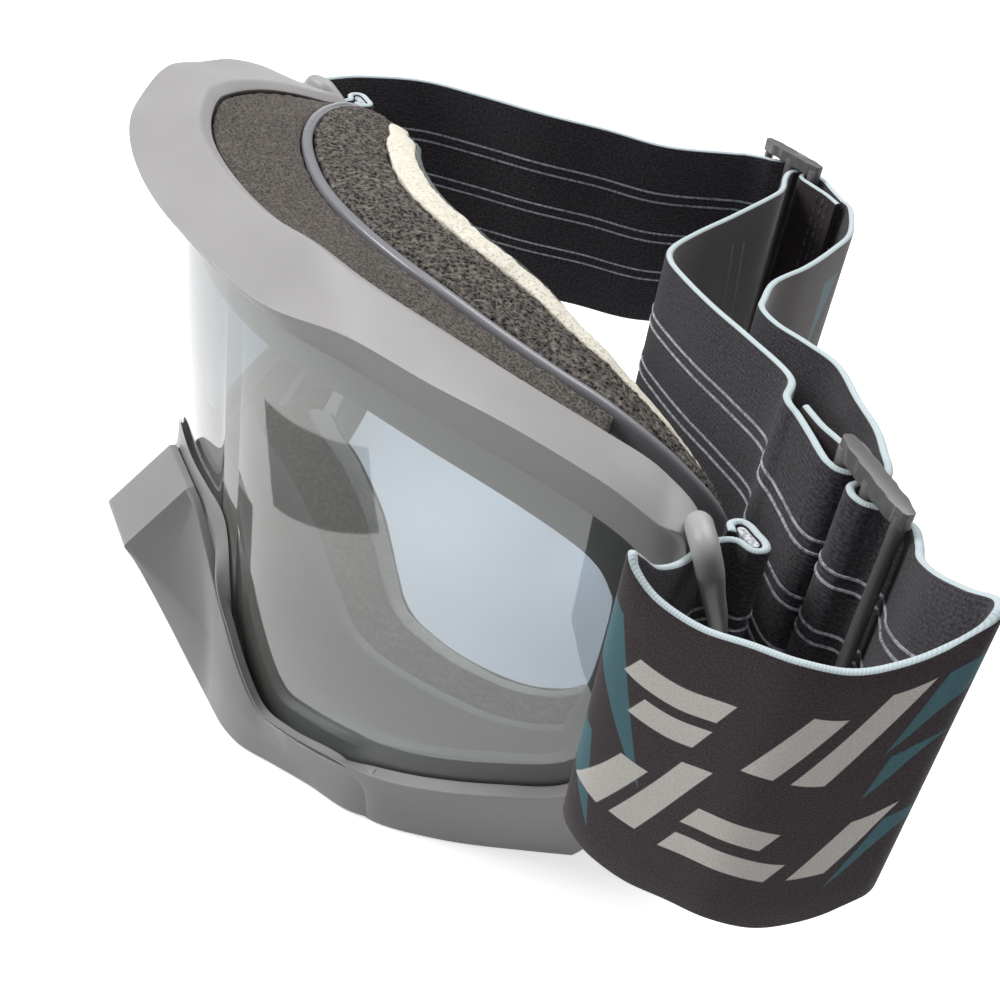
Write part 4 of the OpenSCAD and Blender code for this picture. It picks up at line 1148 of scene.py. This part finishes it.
@dataclass
class Plan:
    """Places in plan that the frame's ends, the outriggers, the sliders and the straps share."""

    post_d: float = 2.8
    anchor_w: float = 5.0
    anchor_t: float = 1.6
    bar_pitch: float = 8.0
    bar_d: float = 3.0
    outer_bar_d: float = 2.2
    bar_gap: float = 0.55
    left_turn: float = -9.8
    right_turn: float = 190.0
    left_top: float = STRAP_TOP + 12
    right_top: float = STRAP_TOP - 8

    def __post_init__(self) -> None:
        """Works out the places."""
        angle, radius = math.radians(1.043 * S), LENS_RADIUS + 0.2
        self.end_x, self.end_y = radius * math.sin(angle), LENS_RADIUS - radius * math.cos(angle)
        slot = STRAP_THICKNESS + 1
        self.post_x, self.post_y = self.end_x + 0.7 + slot + self.post_d / 2, self.end_y - 3.2
        self.slot_x = self.end_x + 0.7 + slot / 2
        self.roll_x, self.roll_y = self.slot_x + 0.2, self.end_y + 1.4 + self.anchor_t / 2 + STRAP_THICKNESS
        self.left_mid = (self.post_x + 6.25, self.post_y + 18.4)
        self.right_mid = (-54.0, self.post_y + 112.6)
        self.bar_r = self.bar_d / 2 + STRAP_THICKNESS / 2 + self.bar_gap
        self.left_bar = self.turned(self.left_mid, self.left_turn, -self.bar_pitch, 0, 0)
        self.right_bar = self.turned(self.right_mid, self.right_turn, -self.bar_pitch, 0, 0)

    @staticmethod
    def turned(c: Sequence[float], a: float, s: float, t: float, z: float) -> list[float]:
        """A place s along and t across a direction in degrees from a middle, at a height."""
        k, m = math.cos(math.radians(a)), math.sin(math.radians(a))
        return [c[0] + s * k - t * m, c[1] + s * m + t * k, z]

    def thread(self, c: Sequence[float], a: float, z: float, lead: Any, out: Any) -> Array:
        """The strap's way through a slider: from its lead behind the third bar, over the middle bar and out."""
        p, r = self.bar_pitch, self.bar_r
        way = [*lead, [p / 2, 0.9], [2.9, -0.6], [0.72 * r, -0.74 * r], [0, -r], [-0.72 * r, -0.74 * r], [-r, 0], *out]
        return np.array([self.turned(c, a, s, t, z) for s, t in way])

    def eye(self, c: Sequence[float], a: float, z: float) -> Array:
        """A sewn end round a bar: the strap comes along an angle and turns back on itself."""
        r = self.bar_r
        way = [[17, 1.6], [12, 1.9], [7, 2.3], [2.4, r], [0, r], [-0.72 * r, 0.72 * r], [-r, 0], [-0.72 * r, -0.72 * r],
               [0, -r], [3, -2.2], [6, -1.5], [9, -0.8], [12, -0.6], [14.5, -0.5]]
        return np.array([self.turned(c, a, s, t, z) for s, t in way])

    def roll(self) -> Array:
        """The strap's sewn roll round its rod and the way out through the slot."""
        x, y, w, k = self.roll_x, self.roll_y, self.anchor_w / 2, (self.anchor_t + STRAP_THICKNESS) / 2 + 0.15
        plan = [
            [self.slot_x - STRAP_THICKNESS - 0.3, y - k], [x - w + 0.6, y - k], [x - w - 0.7, y - 0.65 * k],
            [x - w - 1.1, y], [x - w - 0.7, y + 0.65 * k], [x - w + 0.6, y + k], [x, y + k], [x + w - 0.6, y + k],
            [x + w + 0.7, y + 0.65 * k], [x + w + 1.1, y], [x + w + 0.5, y - 0.8 * k],
            [self.slot_x + 0.9, y - k - 0.5],
            [self.slot_x, self.post_y + 3], [self.slot_x, self.post_y],
        ]
        return np.array([[*p, STRAP_TOP] for p in plan])

    def left(self) -> list[Array]:
        """The left strap's stretches: to the corner, to the slider, through it, behind the head, and its end."""
        h, px, py, lx, ly = STRAP_TOP, self.post_x, self.post_y, *self.left_mid
        fx, fy, cx, cy, ry = px + 8.8, py - 21.8, px + 42, py + 4.6, self.right_mid[1]
        out = [
            [self.slot_x + 0.75, py - 1.6, h], [px + 0.85, py - 7.1, h + 0.4], [fx - 4.4, fy + 7.8, h + 4],
            [fx - 1.4, fy + 2.4, h + 9.4], [fx, fy, h + 11.6], [fx + 2.1, fy - 0.2, h + 10.2],
            [fx + 5.8, fy + 1.4, h + 8.2], [fx + 11.3, fy + 4.6, h + 7.5], [fx + 17, fy + 8, h + 8.9],
            [fx + 22.2, fy + 11.4, h + 9.9],
            [cx - 7.1, cy - 10.2, h + 10.6], [cx - 4.3, cy - 6, h + 13.4], [cx - 1.9, cy - 2.6, h + 17.6],
            [cx, cy, h + 22.8], [cx - 2, cy + 2.4, h + 23.4],
        ]
        back = [[cx - 7, cy + 3.4, h + 20.6], [cx - 14, cy + 6.2, h + 16.6]]
        p = self.bar_pitch
        thread = self.thread(
            self.left_mid, self.left_turn, self.left_top,
            [[p + 6.5, 0.2], [p + 3.5, 1.6], [p, self.bar_r + 0.1], [p - 2.2, 1.9]],
            [[-2.6, 2.2], [-3.8, 4.4], [-6, 6.2]])
        tail = [
            self.turned(self.left_mid, self.left_turn, -9.5, 7.4, self.left_top), [lx - 16.5, ly + 14.6, h + 10],
            [lx - 26.5, ly + 19, h + 8.5], [54, ly + 25, h + 6.5], [44, ly + 26, h + 5], [34, ly + 27, h + 3],
            [26, ly + 29.4, h + 1.6], [21, ly + 33.4, h + 0.6], [14, ly + 41, h], [6, ry - 39, h - 2],
            [-4, ry - 24, h - 4], [-14, ry - 11.4, h - 6],
        ]
        return [np.vstack([self.roll(), out]), np.array(back), thread, np.array(tail),
                self.eye(self.right_bar, -8, self.right_top)]

    def right(self) -> list[Array]:
        """The right strap's stretches, in the same order."""
        h, px, py, ly, ry = STRAP_TOP, self.post_x, self.post_y, self.left_mid[1], self.right_mid[1]
        out = [
            [-self.slot_x - 0.6, py - 2.4, h], [-self.slot_x - 1.4, py - 5.6, h], [-px - 1, py - 8.4, h],
            [-px - 4, py - 8.2, h], [-px - 7.2, py - 4, h + 0.4], [-px - 10.2, py + 4, h + 0.4],
            [-px - 12, py + 13.4, h], [-px - 11, py + 28.4, h - 1],
        ]
        back = [
            [-px - 4.5, py + 41.4, h - 2.5], [-px + 4.9, py + 55.4, h - 4], [-76, ry - 42.4, h - 6],
            [-69, ry - 28.4, h - 8],
        ]
        p = self.bar_pitch
        thread = self.thread(
            self.right_mid, self.right_turn, self.right_top,
            [[p + 3.5, 10.6], [p + 1.8, 7], [p - 0.9, 3.8], [p - 2.9, 2.2]], [[-2.6, 2.2], [-3.5, 4.6], [-6, 8]])
        tail = [
            self.turned(self.right_mid, self.right_turn, -9.5, 12, self.right_top), [-35, ry - 18.4, h - 6],
            [-22, ry - 39.4, h - 4], [-12, ry - 55.4, h - 2], [-3, ly + 27, h], [4, ly + 22, h + 1],
            [14, ly + 19.6, h + 2], [28, ly + 16.8, h + 4], [42, ly + 14.8, h + 6], [58, ly + 11.4, h + 8.6],
        ]
        return [np.vstack([self.roll() * [-1, 1, 1], out]), np.array(back), thread, np.array(tail),
                self.eye(self.left_bar, 180 + self.left_turn, self.left_top)]


@dataclass
class Strap:
    """One elastic strap: a printed face, a brushed face with silicone lines, and woven edges."""

    side: str
    stretches: list[Array]
    print_left: bool
    materials: Sequence[Material]
    steps: int = 8
    edge_r: float = 0.75
    lines: tuple[float, ...] = (14.0, 25.0, 36.0)
    line_gap: float = 2.4
    line_w: float = 0.36
    line_h: float = 0.22
    parts: tuple[str, ...] = ("front", "back", "wrap", "tail", "end")

    def __post_init__(self) -> None:
        """Lays out the path, the way across it and the length along it."""
        self.path = smooth(np.vstack(self.stretches), self.steps, False)
        self.marks = [0, *np.cumsum([len(s) for s in self.stretches]) * self.steps]
        self.marks[-1] = len(self.path) - 1
        ahead = np.gradient(self.path[:, :2], axis=0)
        ahead /= np.linalg.norm(ahead, axis=1, keepdims=True)
        left = np.stack([-ahead[:, 1], ahead[:, 0]], -1)
        self.normal = left if self.print_left else -left
        step = np.linalg.norm(np.diff(self.path[:, :2], axis=0), axis=1)
        self.length = np.concatenate([[0.0], np.cumsum(step)])

    def section(self) -> tuple[Array, NDArray[np.int64]]:
        """The section: offset towards the printed face, depth below the top edge, and the slot of each side."""
        half, edge, width = STRAP_THICKNESS / 2, self.edge_r, STRAP_WIDTH
        points: list[tuple[float, float]] = [(half, d) for d in np.linspace(edge, width - edge, 12)]
        slots = [0] * 11
        turn = np.linspace(0, math.pi, 7)[1:-1]
        points += [(half * math.cos(t), width - edge + edge * math.sin(t)) for t in turn]
        slots += [0, 2, 2, 2, 2, 1]
        low, w, slope = [], self.line_w / 2, 0.08
        for line in self.lines:
            for at in (line - self.line_gap / 2, line + self.line_gap / 2):
                low += [(0.0, at - w - slope), (self.line_h, at - w), (self.line_h, at + w), (0.0, at + w + slope)]
        pile = [(0.0, edge), *low, (0.0, width - edge)][::-1]
        points += [(-half - h, d) for h, d in pile]
        raised = [max(a[0], b[0]) > 0 for a, b in zip(pile, pile[1:])]
        slots += [3 if up else 1 for up in raised]
        points += [(-half * math.cos(t), edge - edge * math.sin(t)) for t in turn]
        slots += [1, 2, 2, 2, 2, 0]
        return np.array(points), np.array(slots)

    def slice(self, name: str, first: int, last: int) -> Piece:
        """Makes the piece of the strap between two samples of its path."""
        points, slots = self.section()
        rows = slice(first, last + 1)
        spot, normal = self.path[rows], self.normal[rows]
        plan = spot[:, None, :2] + normal[:, None] * points[None, :, :1]
        height = spot[:, None, 2] - points[None, :, 1]
        grid = np.concatenate([plan, height[..., None]], 2)
        along = np.broadcast_to(self.length[rows, None], height.shape)
        uv = np.stack([along, np.broadcast_to(points[None, :, 1], height.shape)], -1)
        return Surface(name, grid, close_rows=False, smooth_angle=50, uv=uv, slots=slots).build()

    def spot(self, index: int) -> tuple[float, float, float]:
        """A sample of the path in plan, in row metres.

        Its height is the same for every sample.
        """
        return tuple(to_row(np.array([*self.path[index, :2], STRAP_TOP - STRAP_WIDTH / 2])).tolist())

    def stitches(self, away: Sequence[float], face: float) -> Piece:
        """Makes rows of thread across the sewn end.

        Args:
            away: Distances of the rows from the strap's end, in millimetres.
            face: Side that the rows lie on: 1 is the printed face and -1 the brushed one.
        """
        turn = np.linspace(0, 2 * math.pi, 8, endpoint=False)[None, :, None]
        faces, places, shift = [], [], 0
        profile = np.array([[-1.1, 0.05], [-0.95, 0.2], [0, 0.27], [0.95, 0.2], [1.1, 0.05]])
        for distance in away:
            k = int(np.searchsorted(self.length, self.length[-1] - distance))
            out = np.array([*self.normal[k], 0.0]) * face
            along = np.array([self.normal[k][1], -self.normal[k][0], 0.0])
            base = self.path[k] + out * (STRAP_THICKNESS / 2 + 0.05)
            rings = profile[:, None, 1, None] * (np.cos(turn) * out + np.sin(turn) * along)
            for drop in np.arange(2.4, STRAP_WIDTH - 1.5, 2.9):
                grid = base - [0, 0, drop] + rings + profile[:, None, 0, None] * np.array([0, 0, 1.0])
                rows, columns = grid.shape[:2]
                faces += (grid_faces(rows, columns, False, True) + shift).tolist()
                faces.append((np.arange(columns) + shift).tolist())
                faces.append((np.arange(columns)[::-1] + (rows - 1) * columns + shift).tolist())
                places.append(grid.reshape(-1, 3))
                shift += rows * columns
        name = f"strap_{self.side}_stitches"
        mesh = bpy.data.meshes.new(name)
        mesh.from_pydata(to_row(np.vstack(places)).tolist(), [], faces)
        return linked(name, mesh, 60)

    def build(self, here: str, there: str, thread: Material) -> None:
        """Makes every piece, with the bodies of this strap's own slider and of the one that holds its end."""
        ends = {"front": "goggles", "wrap": here, "end": there}
        for k, part in enumerate(self.parts):
            first, last = self.marks[k], self.marks[k + 1]
            node = f"strap_{self.side}_{part}"
            if part != "tail":
                obj = self.slice(f"{node}_webbing", first, last)
                finished(obj, "webbing", [node], *self.materials, body=ends.get(part, ""))
                if part == "back":
                    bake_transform(obj)
            else:
                middle = (first + last) // 2
                for word, a, b, one, two in (
                    ("near", first, middle, here, "goggles"), ("far", middle, last, "goggles", there)):
                    obj = self.slice(f"{node}_{word}_webbing", a, b)
                    finished(obj, "webbing", [node], *self.materials, body="")
                    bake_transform(obj)
        finished(self.stitches((3.0, 5.4, 7.8), -1 if self.side == "right" else 1), "webbing", [], thread, body=there)


@dataclass
class Slider:
    """A three-bar adjuster: round bars between two lobed end pieces."""

    side: str
    middle: Sequence[float]
    turn: float
    top: float
    plan: Plan
    end_t: float = 3.4
    end_h: float = 2.8
    bar_points: int = 24

    def build(self, finish: Material, body: str) -> Piece:
        """Makes the slider."""
        pieces, pitch = [], self.plan.bar_pitch
        low, high = self.top - STRAP_WIDTH - 0.6, self.top + 0.6
        for k, shift in enumerate((-pitch, 0.0, pitch)):
            spot = self.plan.turned(self.middle, self.turn, shift, 0, 0)
            width = self.plan.outer_bar_d if shift > 0 else self.plan.bar_d
            heights = np.linspace(low - 1.4, high + 1.4, self.bar_points)
            flare = 1 + 0.12 * np.exp(-np.minimum(heights - low, high - heights).clip(0) / 1.2)
            route = np.stack([*(np.full(self.bar_points, v) for v in spot[:2]), heights], -1)
            pieces.append(tube(f"bar_{k}", route, width / 2 * flare))
        angle = np.linspace(0, 2 * math.pi, 72, endpoint=False)
        reach = pitch + self.end_t / 2
        along = reach * np.sign(np.cos(angle)) * np.abs(np.cos(angle)) ** 0.55
        across = self.end_t / 2 * np.sign(np.sin(angle)) * np.abs(np.sin(angle)) ** 0.6
        across *= 1 - 0.16 * np.cos(along / pitch * 2 * math.pi + math.pi) ** 2
        outline = np.array([self.plan.turned(self.middle, self.turn, s, t, 0)[:2] for s, t in zip(along, across)])
        for k, (a, b) in enumerate(((low - self.end_h, low), (high, high + self.end_h))):
            pieces.append(plate(f"cheek_{k}", outline, a, b, 0.55))
        obj = joined(f"slider_{self.side}_moulding", pieces)
        return finished(obj, "slider_grey", [f"slider_{self.side}"], finish, body=body)


@dataclass
class Outrigger:
    """The holder at the frame's end: the strap passes round its bar, which bends over into the frame at the top.

    A plate carries the bar's foot, and a low wall joins the plate to the side of the inner frame.
    """

    plan: Plan
    arm_t: float = 2.4

    def build(self, side: str, finish: Material, rod: Material) -> None:
        """Makes the holder and the rod in the strap's roll, on the left side or mirrored to the right."""
        p, turn = self.plan, np.array([1.0, 1.0]) if side == "left" else np.array([-1.0, 1.0])
        low, high = STRAP_TOP - STRAP_WIDTH - 0.5 - self.arm_t, STRAP_TOP + 1.1
        side_x = max(place(rail)[:, 0].max() for rail in (
            flange(0, 0, 2.3), flange(0, 3.6, 2.3), grown(0, BACK_SEAT - WALL))) + SEAT_GAP
        px, py, back = p.post_x, p.post_y, p.roll_y + 5
        route = np.array([
            [px + 0.6, py + 1.5, low + 0.4], [px + 1.6, py + 3.2, 36], [px + 2.2, py + 4, 50],
            [px + 2.8, py + 3, 61], [px + 3, py + 1, 68], [px + 3, py - 1.5, 74], [px + 2.6, py - 3, 78.4],
            [px + 0.8, py - 3.5, high + 1.2], [p.end_x + 1.6, py - 2.2, high + 1.6],
            [p.end_x - 2, py + 0.4, high - 0.2],
        ])
        route[:, 0] *= turn[0]
        way = smooth(route, 10, False)
        share = np.linspace(0, 1, len(way))
        swell = np.interp(share, [0, 0.4, 0.65, 0.9, 1], [1.0, 1.0, 1.5, 1.55, 0.9])
        pieces = [tube("bar", way, p.post_d / 2 * swell, (0.45 * turn[0], 0.9, 0.0))]
        lower = np.array([
            [px + 2, py], [px + 2, p.roll_y - 1], [px - 1, p.roll_y + 3.6], [side_x + 1.6, back], [side_x, back],
            [side_x, p.end_y + 1.8], [p.end_x + 1.2, p.end_y + 1.8], [px - 1, py + 1], [px - 0.6, py],
        ])
        wall = np.array([[side_x, p.end_y + 1.8], [side_x + 1.6, p.end_y + 1.8], [side_x + 1.6, back], [side_x, back]])
        pieces.append(plate("lower", lower * turn, low, low + self.arm_t, 0.45))
        pieces.append(plate("wall", wall * turn, low + 0.3, STRAP_TOP - 14, 0.25))
        obj = joined(f"outrigger_{side}_moulding", pieces)
        finished(obj, "frame_grey", [f"outrigger_{side}"], finish)
        angle = np.linspace(-math.pi / 2, math.pi / 2, 9)
        cap = p.anchor_t / 2 * np.stack([np.cos(angle), np.sin(angle)], -1) + [(p.anchor_w - p.anchor_t) / 2, 0]
        outline = np.vstack([cap, -cap]) + [p.roll_x, p.roll_y]
        bar = plate(f"anchor_rod_{side}", outline * turn, STRAP_TOP - STRAP_WIDTH + 0.5, STRAP_TOP - 0.5, 0.3)
        finished(bar, "rod_white", [f"strap_anchor_{side}"], rod)


@dataclass(frozen=True)
class Camera:
    """The photograph's camera, found by a least-squares fit of its outline points."""

    azimuth: float = 59.629
    elevation: float = 36.002
    roll: float = 9.954
    distance: float = 252.562
    target: tuple[float, float, float] = (29.0, 50.147, 46.279)
    focal_pixels: float = 1351.356
    frame_pixels: float = 1000.0

    def build(self) -> None:
        """Makes the camera and hands it to the scene."""
        a, e, r = (math.radians(v) for v in (self.azimuth, self.elevation, self.roll))
        back = Vector((math.sin(a) * math.cos(e), -math.cos(a) * math.cos(e), math.sin(e)))
        right = Vector((math.cos(a), math.sin(a), 0))
        up = back.cross(right)
        turned_right = math.cos(r) * right + math.sin(r) * up
        turned_up = -math.sin(r) * right + math.cos(r) * up
        data = bpy.data.cameras.new("camera")
        data.sensor_width = data.sensor_height = SENSOR_MM
        data.sensor_fit = "HORIZONTAL"
        data.lens = self.focal_pixels / self.frame_pixels * SENSOR_MM
        data.clip_start = 0.01
        obj = put("camera", data)
        spot = Vector(to_row(np.array(self.target) + np.array(back) * self.distance).tolist())
        obj.matrix_world = Matrix.Translation(spot) @ Matrix((turned_right, turned_up, back)).transposed().to_4x4()
        bpy.context.scene.camera = obj


@dataclass
class Studio:
    """A white paper floor under soft overhead light, with a grey card before it that only glossy rays see."""

    lamps: tuple[tuple[tuple[float, float, float], float, float], ...] = (
        ((-0.25, 0.35, 0.95), 8.0, 0.7), ((0.55, -0.75, 0.6), 0.15, 0.5), ((-0.5, -0.75, 0.8), 8.0, 0.5))
    ambient: float = 0.14
    floor_reach: float = 3.0
    card: tuple[tuple[float, float], ...] = ((-54.0, -122.0), (66.0, -158.0), (70.0, -77.0), (-7.0, -60.0))

    @staticmethod
    def sheet(name: str, corners: Sequence[Sequence[float]], finish: Material) -> Piece:
        """Lays a four-cornered sheet, its corners in row metres, with its material."""
        mesh = bpy.data.meshes.new(name)
        mesh.from_pydata(corners, [], [(0, 1, 2, 3)])
        mesh.materials.append(finish)
        obj = put(name, mesh)
        return obj

    def shade_card(self) -> None:
        """Lays the grey card on the floor in front of the goggles, where the lens and other gloss reflect it."""
        corners = to_row(np.array([[*spot, 0.5] for spot in self.card])).tolist()
        card = self.sheet("shade_card", corners, GreyCard().build())
        card.visible_camera = card.visible_diffuse = card.visible_shadow = card.visible_transmission = False

    def build(self) -> None:
        """Makes the floor, the card, the lamps and the sky."""
        r = self.floor_reach
        self.sheet("floor", [(-r, -r, 0), (r, -r, 0), (r, r, 0), (-r, r, 0)], WhitePaper().build())
        self.shade_card()
        for where, power, size in self.lamps:
            light = bpy.data.lights.new("softbox", "AREA")
            light.energy = power
            light.size = size
            lamp = put("softbox", light)
            lamp.location = where
            lamp.rotation_euler = Vector(where).to_track_quat("Z", "Y").to_euler()
        world = bpy.data.worlds.new("studio")
        bpy.context.scene.world = world
        world.use_nodes = True
        sky = world.node_tree.nodes["Background"].inputs
        sky["Color"].default_value = (1, 1, 1, 1)
        sky["Strength"].default_value = self.ambient
        bpy.context.scene.view_settings.view_transform = "Standard"


SHARDS = (
    (50.0, 19.0, 4.6, 12.0, -0.55), (47.5, 37.0, 3.4, 8.0, -0.4), (88.0, 11.0, 3.4, 5.5, 0.6),
    (86.0, 21.0, 2.2, 3.5, 0.5), (87.0, 37.0, 1.8, 5.5, 0.5), (8.0, 17.0, 5.5, 9.0, 0.2),
)
SCRATCHES = ((84.0, 22.0, 0.7, 13.0, 0.25), (91.0, 19.0, 0.5, 11.0, 0.25), (8.0, 17.0, 5.5, 9.0, 0.2))
MOTIF = (
    (58.0, 12.0, 7.0, 1.9, 0.5), (58.0, 17.5, 5.0, 1.9, 0.5), (74.0, 14.0, 2.0, 6.0, 0.5),
    (81.0, 12.5, 2.0, 7.5, 0.5),
    (52.0, 33.0, 2.2, 6.0, 0.5), (59.5, 30.5, 2.2, 8.0, 0.5), (70.0, 31.5, 5.5, 1.9, 0.5),
    (70.0, 37.5, 7.5, 1.9, 0.5),
    (84.0, 34.0, 2.2, 5.0, 0.5),
)


def main() -> None:
    """Builds the goggles, the studio and the camera."""
    Camera().build()
    grey = SatinPlastic("moulded_frame_nylon", Tint.FRAME).build()
    shroud = SatinPlastic("moulded_shroud_nylon", Tint.INNER, rough=0.5).build()
    bead = SatinPlastic("polished_bead_nylon", Tint.BEAD, rough=0.25, grain_depth=0.03).build()
    outer = OuterFrame()
    outer.build(grey)
    InnerFrame().build(shroud, bead)
    Lens().build(SmokeLens().build())
    NoseGuard().build(outer.front(), grey)
    vent = CellFoam("fine_vent_foam", Tint.VENT_LIGHT, Tint.VENT_DARK, 0.5, 0.25, (0.45, 1.05)).build()
    dark = CellFoam("coarse_face_foam", Tint.FOAM_LIGHT, Tint.FOAM_DARK, 0.85, 0.6, (0.55, 1.15)).build()
    cream = CellFoam("cream_face_foam", Tint.CREAM_LIGHT, Tint.CREAM_DARK, 0.6, 0.3, (0.3, 0.8)).build()
    fleece = BrushedFleece("brushed_fleece", Tint.FLEECE_LIGHT, Tint.FLEECE_DARK).build()
    Foam().build(outer.back(), vent, dark, cream, fleece)
    plan = Plan()
    rod = ClearSilicone("milky_rod_acetal", Tint.ROD, 0.4).build()
    for side in ("left", "right"):
        Outrigger(plan).build(side, grey, rod)
    webbing = [finish.build() for finish in (
        SublimatedWebbing(bars=MOTIF, shards=SHARDS), BrushedPile("brushed_pile", Tint.PILE, Tint.PILE_LIGHT),
        WovenEdge(), ClearSilicone("grip_silicone", Tint.SILICONE),
    )]
    plain = [SublimatedWebbing("printed_jersey_plain", shards=SCRATCHES).build(), *webbing[1:]]
    thread = ClearSilicone("spun_thread", Tint.THREAD, 0.7).build()
    Strap("left", plan.left(), False, webbing).build("left_adjuster", "right_adjuster", thread)
    Strap("right", plan.right(), True, plain).build("right_adjuster", "left_adjuster", thread)
    acetal = SatinPlastic("slider_acetal", Tint.SLIDER, rough=0.32, grain_depth=0.05).build()
    for side, middle, turn, top in (
        ("left", plan.left_mid, plan.left_turn, plan.left_top),
        ("right", plan.right_mid, plan.right_turn, plan.right_top),
    ):
        Slider(side, middle, turn, top, plan).build(acetal, f"{side}_adjuster")
    Studio().build()


if __name__ == "__main__":
    logging.basicConfig(level=logging.INFO, format="%(message)s")
    main()
